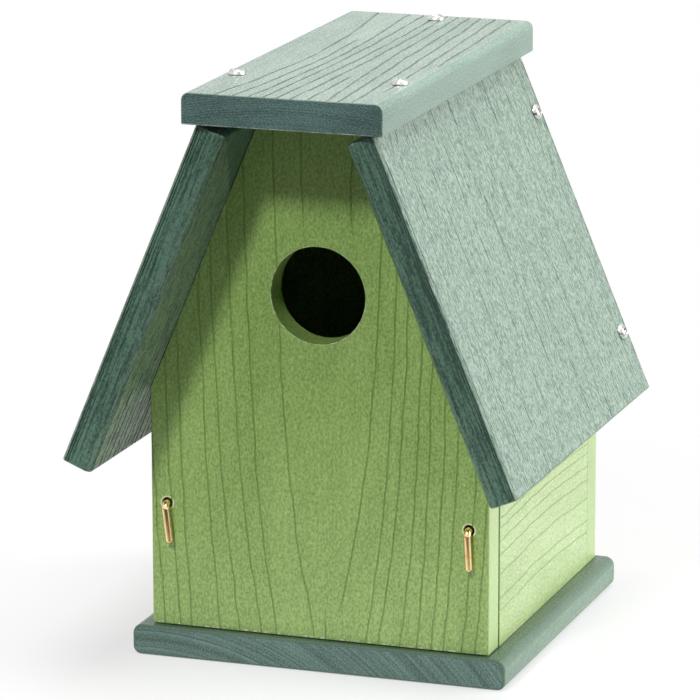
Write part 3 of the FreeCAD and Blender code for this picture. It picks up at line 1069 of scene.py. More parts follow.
class GrainCarver(NodeTool):
    """The node tree that carves grain lines and bores into a board on the bench."""

    # The inputs that take a rule's lengths
    SIZES = {
        "Groove Width": "width", "Groove Depth": "depth", "Step": "step", "Wander": "wander", "Lift": "lift",
        "Wander Along": "wander_along", "Wander Across": "wander_across",
        "Fade Along": "fade_along", "Fade Across": "fade_across"}
    # The corners of a groove's section
    PROFILE_CORNERS = 6
    # A faded line's share of its full size
    FADED_SIZE = 0.4
    # How far a face's mark may lie from a surface's number
    MARK_MARGIN = 0.5

    def __init__(self) -> None:
        """Builds the tree."""
        super().__init__("carve_grain")
        board = self.ask("Board", "Geometry")
        lines, bores = self.ask_object("Lines"), self.ask_object("Bores")
        sizes = {name: self.ask(name, "Float") for name in self.SIZES}
        seed = self.ask("Seed", "Float")
        materials = {surface: self.ask(surface.word, "Material") for surface in Surface}
        carved = self.cut(board, [self.grooves(lines, sizes, seed), bores])
        rest = [surface for surface in Surface if surface is not Surface.FACE]
        where = [(materials[surface], self.marked(surface)) for surface in rest]
        self.deliver(carved, [(materials[Surface.FACE], None), *where])

    def marked(self, surface: Surface) -> Value:
        """Selects the faces that are marked as one kind of surface."""
        inputs = {"A": self.named("cut"), "B": surface.value, "Epsilon": self.MARK_MARGIN}
        return self.sheet.add("FunctionNodeCompare", {"data_type": "FLOAT", "operation": "EQUAL"}, inputs)

    def grooves(self, lines: Value, sizes: dict[str, Value], seed: Value) -> Value:
        """Sweeps a round-bottomed cutter along every line.

        Args:
            lines: the lines' geometry.
            sizes: the tree's sizes by name.
            seed: where in the noise this board lies.

        Returns:
            The cutters, marked as grooves.
        """
        sheet = self.sheet
        curve = sheet.add("GeometryNodeMeshToCurve", {}, {"Mesh": lines})
        curve = sheet.add("GeometryNodeResampleCurve", {"mode": "LENGTH"},
                          {"Curve": curve, "Length": sizes["Step"]})
        full = self.strength(sizes, seed)
        stray = (self.drift(sizes, Drift.WANDER, seed) - NOISE_MIDDLE) * 2.0
        drift = stray * sizes["Wander"] * self.named("sway")
        lift = (1.0 - full) * sizes["Lift"] * self.named("out")
        offset = sheet.add("ShaderNodeCombineXYZ", {}, {"Y": drift, "Z": lift})
        curve = sheet.add("GeometryNodeSetPosition", {}, {"Geometry": curve, "Offset": offset})
        curve = sheet.add("GeometryNodeSetCurveNormal", {"mode": "Z_UP"}, {"Curve": curve})
        section = sheet.add("GeometryNodeCurvePrimitiveCircle", {"mode": "RADIUS"},
                            {"Resolution": self.PROFILE_CORNERS, "Radius": 1.0})
        scale = sheet.add("ShaderNodeCombineXYZ", {},
                          {"X": sizes["Groove Width"] / 2.0, "Y": sizes["Groove Depth"], "Z": 1.0})
        section = sheet.add("GeometryNodeTransform", {}, {"Geometry": section, "Scale": scale})
        size = self.named("gauge") * (self.FADED_SIZE + (1.0 - self.FADED_SIZE) * full)
        swept = sheet.add("GeometryNodeCurveToMesh", {},
                          {"Curve": curve, "Profile Curve": section, "Scale": size, "Fill Caps": True})
        settings = {"data_type": "FLOAT", "domain": "FACE"}
        inputs = {"Geometry": swept, "Name": "groove", "Value": self.named("ink")}
        inked = sheet.add("GeometryNodeStoreNamedAttribute", settings, inputs)
        surface = (0.0 - self.named("out")).between(0.0, 1.0) * Surface.BACK.value
        inputs = {"Geometry": inked, "Name": "cut", "Value": surface}
        return sheet.add("GeometryNodeStoreNamedAttribute", settings, inputs)

    def strength(self, sizes: dict[str, Value], seed: Value) -> Value:
        """Returns each line's strength from place to place, from 0 where it has faded out to 1."""
        kept = self.drift(sizes, Drift.FADE, seed).rise(*GrainRule.FADE_EDGE)
        return 1.0 - self.named("fade") * (1.0 - kept)

    def drift(self, sizes: dict[str, Value], kind: Drift, seed: Value) -> Value:
        """Samples noise stretched along the grain.

        Args:
            sizes: the tree's sizes by name.
            kind: what the noise sets, whose two lengths give the stretch.
            seed: where in the noise this board lies.

        Returns:
            The noise.
        """
        sheet = self.sheet
        place = sheet.add("GeometryNodeInputPosition")
        parts = [sheet.add("ShaderNodeSeparateXYZ", {}, {"Vector": place}, axis) for axis in ("X", "Y")]
        along, across = (sizes[f"{kind.value} {way}"] for way in ("Along", "Across"))
        spot = {"X": parts[0] / along, "Y": parts[1] / across, "Z": seed}
        return sheet.noise(sheet.add("ShaderNodeCombineXYZ", {}, spot), *FINE_NOISE)

    def carve(self, blank: bpy.types.Object, lines: Sequence[GrainLine], bores: Sequence[Bore | Burr],
              rule: GrainRule, seed: float, materials: dict[Surface, bpy.types.Material]) -> bpy.types.Mesh:
        """Carves one board.

        Args:
            blank: the board before carving, which is used up.
            lines: its grain lines.
            bores: its holes and rubbed strips.
            rule: how the lines are cut.
            seed: where in the noise the board lies.
            materials: the material of each surface.

        Returns:
            The carved board as a plain mesh.
        """
        cutters = bmesh.new()
        for name in ("rim", "cut"):
            cutters.faces.layers.float.new(name)
        for bore in bores:
            bore.add_cutter(cutters)
        settings: dict[str, object] = {"Lines": line_object(lines), "Bores": on_bench(cutters, "bores")}
        for name, size in self.SIZES.items():
            settings[name] = getattr(rule, size) * MM
        settings["Seed"] = seed
        for surface in Surface:
            settings[surface.word] = materials[surface]
        return self.run(blank, settings)


# Boards
@dataclass
class Board:
    """A board of the house.

    Attributes:
        node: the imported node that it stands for.
        axes: the bench's three axes, as directions in the house.
        stock: what the board is cut from.
        body: the body that it rides on.
        arris: the rounding of its sharp edges.
        seed: sets its grain apart from other boards'.
        rule: how its grain lines are cut.
    """

    node: CadNode
    axes: tuple[Vector, Vector, Vector]
    stock: BoardStock
    body: str = "house"
    arris: float = 0.45
    seed: int = 1
    rule: GrainRule = field(default_factory=GrainRule)

    # The straight lengths of a rounded edge and of a grain line
    ROUND_STEPS = 8
    LINE_POINTS = 60
    # How far a line runs past the board's end, and how long and how high a loose end tapers out
    LINE_OVERRUN = 2.0
    LINE_TAPER = 9.0
    LINE_LIFT = 0.4
    # How far apart boards lie in the pattern of their finish
    BENCH_STRIDE = 400.0

    @property
    def turn(self) -> Matrix:
        """The turn from the bench to the house."""
        return Matrix(self.axes).transposed()

    def bench(self, *place: float) -> Vector:
        """Takes a place in the house to the bench."""
        return Vector(tuple(Vector(place).dot(axis) for axis in self.axes))

    def span(self, axis: int) -> tuple[float, float]:
        """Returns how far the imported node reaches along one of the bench's axes."""
        return self.node.extent(self.axes[axis])

    def blank(self) -> bmesh.types.BMesh:
        """Makes the board before carving."""
        raise NotImplementedError

    def lines(self) -> list[GrainLine]:
        """Lays out the board's grain lines."""
        return []

    def bores(self) -> list[Bore | Burr]:
        """Lists the board's holes and rubbed strips."""
        return []

    def rubbed(self, facing: Vector) -> float:
        """Returns how far a rim that faces a way on the bench is painted pale, for rubbed wear and on some boards
        for painted light: 0.5 is half of its length.
        """
        return 0.0

    def rub(self, mesh: bmesh.types.BMesh) -> bmesh.types.BMesh:
        """Marks the pale rims of a blank, for rubbed wear and on some boards for painted light.

        Args:
            mesh: the blank.

        Returns:
            The same blank.
        """
        rim = mesh.faces.layers.float["rim"]
        for face in mesh.faces:
            flat = max(abs(part) for part in face.normal) > FLAT_FACING
            face[rim] = 0.0 if flat else self.rubbed(face.normal)
        return mesh

    @staticmethod
    def straight(place: float) -> Callable[[float], float]:
        """Returns the course of a line that keeps its place across the grain."""
        return lambda share: place

    def line_along(self, across: Callable[[float], float], level: float, reach: Flat = (0.0, 1.0),
                   **kind: float) -> GrainLine:
        """Makes a line along the board; an end that stops short of the board's end tapers out.

        Args:
            across: gives the place across the grain for a share of the way along.
            level: the height that the line lies at.
            reach: the shares of the way along where the line starts and ends.
            kind: how the line varies, as GrainLine has it.

        Returns:
            The line.
        """
        low, high = self.span(X)
        ends = [low + (high - low) * share for share in reach]
        free = [reach[0] > 0.0, reach[1] < 1.0]
        points = []
        for number in range(self.LINE_POINTS + 1):
            share = reach[0] + (reach[1] - reach[0]) * number / self.LINE_POINTS
            along = low + (high - low) * share
            lift = max(1 - abs(along - end) / self.LINE_TAPER if loose else 0.0
                       for end, loose in zip(ends, free))
            points.append(Vector((along, across(share), level + self.LINE_LIFT * max(lift, 0.0))))
        points[0].x -= 0.0 if free[0] else self.LINE_OVERRUN
        points[-1].x += 0.0 if free[1] else self.LINE_OVERRUN
        return GrainLine(points, **kind)

    def good_face(self) -> float:
        """The height of the good face, where the cutters' middles stand just clear of it."""
        return self.span(Z)[1] + CUT_CLEAR

    def other_face(self) -> float:
        """The same for the other face."""
        return self.span(Z)[0] - CUT_CLEAR

    def build(self, carver: GrainCarver, materials: dict[Surface, bpy.types.Material]) -> bpy.types.Object:
        """Makes the board, puts it in the house and hands it over.

        Args:
            carver: the tree that carves it.
            materials: its stock's materials.

        Returns:
            The finished piece.
        """
        blank = on_bench(self.rub(self.blank()), "blank")
        mesh = carver.carve(blank, self.lines(), self.bores(), self.rule, float(self.seed), materials)
        apart = Vector((self.BENCH_STRIDE * self.seed, 0, 0))
        places = [vertex.co / MM + apart for vertex in mesh.vertices]
        bench = mesh.attributes.new("bench", "FLOAT_VECTOR", "POINT")
        bench.data.foreach_set("vector", [part for place in places for part in place])
        mesh.transform(self.turn.to_4x4())
        piece = add_object(even_shading(mesh), f"grained_{self.node.name}")
        hand_over(piece, self.body, self.stock.slot, [self.node.name])
        return piece


# Faces that meet at more than this keep a sharp edge
SHARP_ANGLE = math.radians(20)
# How far large faces outweigh small ones in the shading, where 50 is not at all
FACE_WEIGHT = 100


def even_shading(mesh: bpy.types.Mesh) -> bpy.types.Mesh:
    """Shades rounds smooth and keeps flat faces flat.

    Args:
        mesh: the mesh to shade, which is used up.

    Returns:
        The shaded mesh.
    """
    mesh.shade_smooth()
    mesh.set_sharp_from_angle(angle=SHARP_ANGLE)
    item = add_object(mesh, "shading")
    modifier = item.modifiers.new("even", "WEIGHTED_NORMAL")
    modifier.keep_sharp = True
    modifier.weight = FACE_WEIGHT
    shaded = bpy.data.meshes.new_from_object(item.evaluated_get(bpy.context.evaluated_depsgraph_get()))
    bpy.data.objects.remove(item)
    return shaded


def hand_over(piece: bpy.types.Object, body: str, slot: str, nodes: Sequence[str]) -> None:
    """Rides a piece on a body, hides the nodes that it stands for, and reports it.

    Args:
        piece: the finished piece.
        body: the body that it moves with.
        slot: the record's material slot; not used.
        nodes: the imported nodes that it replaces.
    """
    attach(piece, body)
    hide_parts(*nodes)
    piece.data.calc_loop_triangles()
    log.info("%s: %d triangles, on %s", piece.name, len(piece.data.loop_triangles), body)


@dataclass
class PlanedBoard(Board):
    """A board of one section all along its grain, sawn off square at both ends."""

    def section(self) -> tuple[list[Flat], list[float]]:
        """Lays out the section across and through the board.

        Returns:
            The section's corners, anticlockwise, and their radii.
        """
        (left, right), (low, high) = self.span(Y), self.span(Z)
        corners = [(left, low), (right, low), (right, high), (left, high)]
        return corners, [self.arris] * len(corners)

    def blank(self) -> bmesh.types.BMesh:
        """Makes the section as long as the board."""
        outline = rounded(*self.section(), self.ROUND_STEPS)
        return eased_prism(outline, self.span(X), self.arris, lambda y, z, x: Vector((x, y, z)))


class PanelLine(NamedTuple):
    """A grain line of a panel or the cap, where the right is as seen from outside.

    Attributes:
        foot: where it starts, to the right of the middle.
        lean: how far to the right it leans.
        reach: the shares of the way along the board where it starts and ends.
        bow: how far to the right it bows in between.
    """

    foot: float
    lean: float
    reach: Flat = (0.0, 1.0)
    bow: float = 0.0


@dataclass
class RidgeCap(PlanedBoard):
    """The flat cap over the ridge, with rounded long top edges and bowed grain lines."""

    top_round: float = 3.2
    grain: tuple[PanelLine, ...] = ()
    line_fade: float = 0.3
    burr_height: float = 0.55
    burr_rub: float = 0.55

    def section(self) -> tuple[list[Flat], list[float]]:
        """Rounds the two top corners."""
        corners, _ = super().section()
        return corners, [self.arris, self.arris, self.top_round, self.top_round]

    def bores(self) -> list[Burr]:
        """Lists what the saw has left: a pale burr along the bottom of the front end.

        Returns:
            The burr.
        """
        (front, _), (right, left), (bottom, _) = self.span(X), self.span(Y), self.span(Z)
        low = Vector((front - CUT_OVERRUN, right - CUT_OVERRUN, bottom - CUT_OVERRUN))
        high = Vector((front + RUB_DEPTH, left + CUT_OVERRUN, bottom + self.burr_height))
        return [Burr(low, high, Surface.END, self.burr_rub)]

    def lines(self) -> list[GrainLine]:
        """Lays the cap's lines, each with its own lean and bow."""
        return [self.line_along(self.bowed(line), self.good_face(), line.reach, fade=self.line_fade)
                for line in self.grain]

    def bowed(self, line: PanelLine) -> Callable[[float], float]:
        """Returns a line's place across the grain, where the right of the house is minus."""
        return lambda share: -(line.foot + line.lean * share + line.bow * math.sin(math.pi * share))


@dataclass
class BaseBoard(PlanedBoard):
    """The floor, with rounded long edges, drain holes and sunk screw seats."""

    arris: float = 1.0
    top_round: float = 4.0
    bottom_round: float = 3.5
    drain_radius: float = 3.2
    drain_rim: float = 0.45
    drain_inset: float = 16.0
    seat_radius: float = 4.25
    seat_depth: float = 3.0
    line_pitch: float = 9.0
    line_spread: Flat = (0.2, 0.8)
    line_margin: float = 0.12

    def section(self) -> tuple[list[Flat], list[float]]:
        """Rounds all four corners."""
        corners, _ = super().section()
        return corners, [self.bottom_round, self.bottom_round, self.top_round, self.top_round]

    def lines(self) -> list[GrainLine]:
        """Lays uneven straight lines inside the walls.

        Returns:
            The lines.
        """
        draw = random.Random(self.seed)
        inside = CadNode("right_wall").low.x
        reach = (self.line_margin, 1.0 - self.line_margin)
        lines = []
        for number in range(int(2 * inside / self.line_pitch)):
            place = (number + draw.uniform(*self.line_spread)) * self.line_pitch - inside
            lines.append(self.line_along(self.straight(place), self.good_face(), reach))
        return lines

    def bores(self) -> list[Bore]:
        """Lists the drains and the screw seats.

        Returns:
            The holes.
        """
        wall = CadNode("right_wall")
        low, high = self.span(Z)
        side, end = wall.low.x - self.drain_inset, wall.high.y - self.drain_inset
        holes = []
        for across in (-side, side):
            for along in (-end, end):
                holes.append(Bore((along, across), (low, high), self.drain_radius, self.drain_rim))
        for name in frame["nodes"]:
            if name.startswith("base_screw"):
                place = self.bench(*CadNode(name).middle)
                seat = (low - self.seat_depth, low + self.seat_depth)
                holes.append(Bore((place.x, place.y), seat, self.seat_radius, 0.0))
        return holes


@dataclass
class SideWall(PlanedBoard):
    """A side wall, bevelled on top under its roof board, with grain lines from front to back."""

    hand: Hand = Hand.RIGHT
    heights: tuple[float, ...] = (27.5, 32.5, 42.5, 50.5, 56.5, 62.0, 66.0, 74.0, 79.5, 88.0, 94.0, 103.0)
    bow: float = 2.0

    # Each wall's own seed
    SEEDS = {Hand.LEFT: 3, Hand.RIGHT: 4}

    def section(self) -> tuple[list[Flat], list[float]]:
        """Bevels the top, from the outside up to the inside.

        Returns:
            The section's corners, anticlockwise, and their radii.
        """
        low, high = self.node.low, self.node.high
        outside, inside = (high.x, low.x) if self.hand is Hand.RIGHT else (low.x, high.x)
        profile = [(inside, low.z), (outside, low.z), (outside, self.node.reach(Z, X, outside)),
                   (inside, self.node.reach(Z, X, inside))]
        places = [self.bench(across, 0.0, up) for across, up in profile]
        corners = anticlockwise([(place.y, place.z) for place in places])
        return corners, [self.arris] * len(corners)

    def lines(self) -> list[GrainLine]:
        """Lays lines at uneven heights, which rise a little in the middle."""
        return [self.line_along(self.bowed(height), self.good_face()) for height in self.heights]

    def bowed(self, height: float) -> Callable[[float], float]:
        """Returns a line's place across the grain, for its height at the ends."""
        return lambda share: self.bench(0.0, 0.0, height + self.bow * math.sin(math.pi * share)).y


@dataclass
class RoofBoard(PlanedBoard):
    """A steep roof board with fine combed streaks down its slope and a few long dark lines.

    Each of its edge strokes is a depth below the good face and a gauge.
    """

    arris: float = 0.9
    outer_round: float = 1.2
    inner_round: float = 3.0
    rim_rub: float = 0.46
    place_swing: float = 0.2
    streak_sway: float = 0.15
    comb_pitch: float = 1.7
    comb_gauge: Flat = (0.3, 0.55)
    comb_fade: float = 1.0
    long_every: int = 13
    long_gauge: float = 0.85
    long_fade: float = 0.4
    inner_pitch: float = 5.0
    inner_gauge: Flat = (1.4, 2.1)
    inner_start: Flat = (0.5, 0.78)
    inner_fade: float = 0.35
    torn_ink: float = 1.8
    edge_strokes: tuple[Flat, ...] = ((1.4, 0.9), (2.3, 0.7), (3.6, 0.5), (5.5, 0.4))
    edge_sway: float = 0.12
    edge_fade: float = 0.7
    crack_inset: float = 1.6
    crack_gauge: float = 1.0
    crack_sway: float = 0.3
    crack_fade: float = 0.9

    # Each roof board's own seed
    SEEDS = {Hand.LEFT: 6, Hand.RIGHT: 7}

    @staticmethod
    def slope(node: CadNode) -> tuple[Vector, Vector, Vector]:
        """Works out the bench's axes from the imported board.

        Args:
            node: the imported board.

        Returns:
            The ways down the slope, across it and outwards.
        """
        points = node.points()
        top = max(points, key=lambda point: point.z)
        foot = max(points, key=lambda point: abs(point.x))
        down = Vector((foot.x - top.x, 0.0, foot.z - top.z)).normalized()
        out = Vector((-down.z, 0.0, down.x)) if down.x > 0 else Vector((down.z, 0.0, -down.x))
        return down, out.cross(down), out

    def section(self) -> tuple[list[Flat], list[float]]:
        """Rounds the front and back edges."""
        corners, _ = super().section()
        return corners, [self.inner_round, self.inner_round, self.outer_round, self.outer_round]

    def rubbed(self, facing: Vector) -> float:
        """The long rims of the good face are rubbed on the side of the edge."""
        return self.rim_rub if facing.z > 0 and abs(facing.y) > max(abs(facing.x), facing.z) else 0.0

    def places(self, draw: random.Random, pitch: float) -> list[float]:
        """Draws uneven places across the board.

        Args:
            draw: what the swings of the places are drawn from.
            pitch: how far apart the places are before they swing.

        Returns:
            The places, from one long edge to the other.
        """
        left, right = self.span(Y)
        spots = range(1, int((right - left) / pitch))
        return [left + (spot + draw.uniform(-self.place_swing, self.place_swing)) * pitch for spot in spots]

    def outer_lines(self, draw: random.Random) -> list[GrainLine]:
        """Lays fine broken streaks all over the good face, with a longer line here and there.

        Args:
            draw: what the places and gauges are drawn from.

        Returns:
            The lines.
        """
        lines = []
        for number, place in enumerate(self.places(draw, self.comb_pitch), start=1):
            kind = {"gauge": draw.uniform(*self.comb_gauge), "sway": self.streak_sway, "fade": self.comb_fade}
            if number % self.long_every == 0:
                kind.update(gauge=self.long_gauge, fade=self.long_fade)
            lines.append(self.line_along(self.straight(place), self.good_face(), **kind))
        return lines

    def inner_lines(self, draw: random.Random) -> list[GrainLine]:
        """Lays deeper streaks on the foot of the inner face.

        Args:
            draw: what the places, starts and gauges are drawn from.

        Returns:
            The lines.
        """
        lines = []
        for place in self.places(draw, self.inner_pitch):
            reach = (draw.uniform(*self.inner_start), 1.0)
            kind = {"gauge": draw.uniform(*self.inner_gauge), "sway": self.streak_sway,
                    "fade": self.inner_fade, "out": -1.0, "ink": self.torn_ink}
            lines.append(self.line_along(self.straight(place), self.other_face(), reach, **kind))
        return lines

    def edge_lines(self) -> list[GrainLine]:
        """Lays torn strokes along both long edges, and a crack beside each on the good face.

        Returns:
            The lines.
        """
        torn = {"sway": self.edge_sway, "fade": self.edge_fade, "out": 0.0, "ink": self.torn_ink}
        crack = {"gauge": self.crack_gauge, "sway": self.crack_sway, "fade": self.crack_fade,
                 "ink": self.torn_ink}
        lines = []
        for edge in self.span(Y):
            for depth, gauge in self.edge_strokes:
                level = self.span(Z)[1] - depth
                lines.append(self.line_along(self.straight(edge), level, gauge=gauge, **torn))
            place = edge - math.copysign(self.crack_inset, edge)
            lines.append(self.line_along(self.straight(place), self.good_face(), **crack))
        return lines

    def lines(self) -> list[GrainLine]:
        """Lays the streaks of both faces and the strokes of the edges."""
        draw = random.Random(self.seed)
        return self.outer_lines(draw) + self.inner_lines(draw) + self.edge_lines()


@dataclass
class EndPanel(Board):
    """A panel across an end of the house: upright sides, then slopes up to a flat top.

    Attributes:
        grain: the grain lines, with their places to the right as seen from outside.
        rise: the height over which most of a line's lean comes.
        swell: how far the slopes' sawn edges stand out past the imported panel's.
    """

    grain: tuple[PanelLine, ...] = ()
    rise: float = 80.0
    swell: float = 0.0

    def outline(self) -> list[Flat]:
        """Lays out the panel's corners on the bench.

        Returns:
            The corners, anticlockwise.
        """
        low, high = self.node.low, self.node.high
        eave, top_half = self.node.reach(Z, X, high.x), self.node.reach(X, Z, high.z)
        run, climb = high.x - top_half, high.z - eave
        length = math.hypot(run, climb)
        eave += self.swell * length / run
        top_half += self.swell * length / climb
        right = [(high.x, low.z), (high.x, eave), (top_half, high.z)]
        left = [(-across, up) for across, up in reversed(right)]
        places = [self.bench(across, 0.0, up) for across, up in right + left]
        return anticlockwise([(place.x, place.y) for place in places])

    def blank(self) -> bmesh.types.BMesh:
        """Makes the outline as thick as the board.

        Returns:
            The board before carving.
        """
        corners = self.outline()
        outline = rounded(corners, [self.arris] * len(corners), EASE_STEPS)
        return eased_prism(outline, self.span(Z), self.arris, lambda x, y, z: Vector((x, y, z)))

    def lines(self) -> list[GrainLine]:
        """Lays the panel's lines, which lean most near the bottom."""
        return [self.line_along(self.leaning(line), self.good_face(), line.reach) for line in self.grain]

    def leaning(self, line: PanelLine) -> Callable[[float], float]:
        """Returns a line's place across the grain, where the right as seen from outside is minus."""
        low, high = self.span(X)
        return lambda share: -(line.foot + line.lean * (1 - math.exp(-share * (high - low) / self.rise)))

    def through(self, place: Vector, radius: float, rim: float) -> Bore:
        """Returns a hole right through the panel at a place in the house."""
        spot = self.bench(*place)
        return Bore((spot.x, spot.y), self.span(Z), radius, rim)


@dataclass
class FrontPanel(EndPanel):
    """The front panel, with the entrance, the holes for the hooks and a cathedral in its grain."""

    swell: float = 0.25
    hook_hole: float = 2.25
    rim: float = 0.4
    rim_rub: float = 0.58
    hook_rim: float = 0.25
    hook_ring: float = 0.5
    burr_height: float = 0.9
    burr_rub: float = 0.42
    # How pale the slopes' rims are painted: partly rubbed specks, partly painted light over the shade of the seam
    slope_rub: float = 0.46

    def rubbed(self, facing: Vector) -> float:
        """The rims of the good face along the two slopes are painted pale: a few rubbed specks, and painted light
        that lifts the shade of the seam under the roof boards.
        """
        return self.slope_rub if min(facing.x, abs(facing.y), facing.z) > SLANT_FACING else 0.0

    def bores(self) -> list[Bore | Burr]:
        """Lists the entrance, the two hook holes with a rubbed ring each, and the burr along the bottom.

        Returns:
            The holes and the burr.
        """
        entrance = mount("entrance")
        hole = self.through(Vector(entrance["pos_m"]) / MM, entrance["dims"]["r_mm"], self.rim)
        cuts = [replace(hole, rub=self.rim_rub)]
        for hand in Hand:
            hole = self.through(joint_place(f"{hand.word}_hook_turn"), self.hook_hole, self.hook_rim)
            cuts.append(replace(hole, ring=self.hook_ring))
        (bottom, _), (right, left), (_, face) = self.span(X), self.span(Y), self.span(Z)
        low = Vector((bottom - CUT_OVERRUN, right - CUT_OVERRUN, face - RUB_DEPTH))
        high = Vector((bottom + self.burr_height, left + CUT_OVERRUN, face + CUT_OVERRUN))
        return [*cuts, Burr(low, high, Surface.FACE, self.burr_rub)]


@dataclass
class BackPanel(EndPanel):
    """The back panel, with two holes for a post."""

    rim: float = 0.5

    def bores(self) -> list[Bore]:
        """Lists the two post holes.

        Returns:
            The holes.
        """
        holes = mount("post_holes")
        middle, apart = Vector(holes["pos_m"]) / MM, holes["dims"]["spacing_y_mm"]
        places = [middle + Vector((0.0, 0.0, side * apart / 2)) for side in (-1, 1)]
        return [self.through(place, holes["dims"]["hole_r_mm"], self.rim) for place in places]


# Out of the house's front, to the right of someone who looks at it, and up
AHEAD, RIGHT_HAND, UP = Vector((0, -1, 0)), Vector((1, 0, 0)), Vector((0, 0, 1))

# The grain of the cap and the cathedral of the front panel, read off the photograph from left to right
CAP_GRAIN = (
    PanelLine(-27.2, 0.5, bow=7.7), PanelLine(-19.6, 0.8, (0.0, 0.67), bow=5.8),
    PanelLine(-13.2, 0.0, bow=4.6), PanelLine(-7.7, 1.2, bow=2.8), PanelLine(-2.2, 1.8, bow=2.6),
    PanelLine(3.9, 0.0, bow=2.2), PanelLine(10.6, 0.2, (0.0, 0.28)), PanelLine(18.3, -9.3, bow=-1.2),
    PanelLine(23.3, -9.6), PanelLine(28.9, -10.2, bow=0.8), PanelLine(34.5, -9.5, (0.12, 1.0), bow=0.8),
    PanelLine(37.5, -5.5, (0.4, 1.0), bow=1.0),
)
FRONT_GRAIN = (
    PanelLine(-66.0, -8.2), PanelLine(-59.5, -7.7), PanelLine(-54.5, -6.9), PanelLine(-42.0, -10.1),
    PanelLine(-33.5, -13.9), PanelLine(-24.5, -15.2), PanelLine(-18.0, -14.3), PanelLine(-1.5, -18.6),
    PanelLine(3.0, 0.0, (0.0, 0.06)), PanelLine(5.0, 24.8, (0.04, 1.0)), PanelLine(19.5, 16.0),
    PanelLine(25.0, 15.7), PanelLine(34.5, 11.5), PanelLine(41.5, 8.4), PanelLine(47.5, 8.5),
    PanelLine(52.5, 9.4), PanelLine(60.5, 8.9), PanelLine(66.0, 8.5),
    PanelLine(-6.5, 0.0, (0.77, 1.0)), PanelLine(14.5, 0.0, (0.76, 1.0)),
)
# The back isn't in the photograph, so its cathedral is a guess in the manner of the front's
BACK_GRAIN = (
    PanelLine(-64.0, -6.0), PanelLine(-57.0, -7.0), PanelLine(-49.5, -8.0), PanelLine(-44.0, -10.5),
    PanelLine(-36.0, -13.0), PanelLine(-30.5, -15.0), PanelLine(-22.0, -17.0), PanelLine(-15.0, -20.0),
    PanelLine(-6.0, 19.0), PanelLine(4.5, 18.0), PanelLine(11.0, 16.0), PanelLine(20.0, 14.0),
    PanelLine(26.5, 13.5), PanelLine(33.0, 12.0), PanelLine(42.0, 9.0), PanelLine(49.0, 8.5),
    PanelLine(55.5, 8.0), PanelLine(63.5, 7.0),
)

# Both grains are wider than the panels', the walls' a little shallower and the cap's deeper
WALL_RULE = GrainRule(width=0.9, depth=0.28)
CAP_RULE = GrainRule(width=1.3, depth=0.4)


def boards() -> list[Board]:
    """Lists every board of the house.

    Returns:
        The boards, in the order in which they are made.
    """
    front = FrontPanel(CadNode("front_panel"), (UP, -RIGHT_HAND, AHEAD), GREEN_STOCK, body="front_panel",
                       seed=1, grain=FRONT_GRAIN)
    back = BackPanel(CadNode("back_panel"), (UP, RIGHT_HAND, -AHEAD), GREEN_STOCK, seed=2, grain=BACK_GRAIN)
    base = BaseBoard(CadNode("base_board"), (-AHEAD, -RIGHT_HAND, UP), BASE_STOCK, seed=5)
    cap = RidgeCap(CadNode("ridge_cap"), (-AHEAD, -RIGHT_HAND, UP), CAP_STOCK, seed=8, rule=CAP_RULE,
                   grain=CAP_GRAIN)
    walls, roofs = [], []
    for hand in Hand:
        axes = (-AHEAD, hand.value * UP, hand.value * RIGHT_HAND)
        walls.append(SideWall(CadNode(f"{hand.word}_wall"), axes, WALL_STOCK, seed=SideWall.SEEDS[hand],
                              rule=WALL_RULE, hand=hand))
        node = CadNode(f"{hand.word}_roof_board")
        roofs.append(RoofBoard(node, RoofBoard.slope(node), COMBED_STOCK, seed=RoofBoard.SEEDS[hand]))
    return [base, back, *walls, front, *roofs, cap]


# Fasteners
@dataclass(frozen=True)
class Thread:
    """A screw thread.

    Attributes:
        core: the radius under its ridge.
        outside: the radius over its ridge.
        pitch: the rise of one turn.
        point: the length of the bare point below it.
    """

    core: float
    outside: float
    pitch: float
    point: float

    def settings(self, base: float, top: float) -> dict[str, object]:
        """Returns a tree's inputs for this thread between two heights."""
        sizes = (self.core, self.outside - self.core, self.pitch, top - base, base)
        return {name: size * MM for name, size in zip(NodeTool.THREAD_SIZES, sizes)}


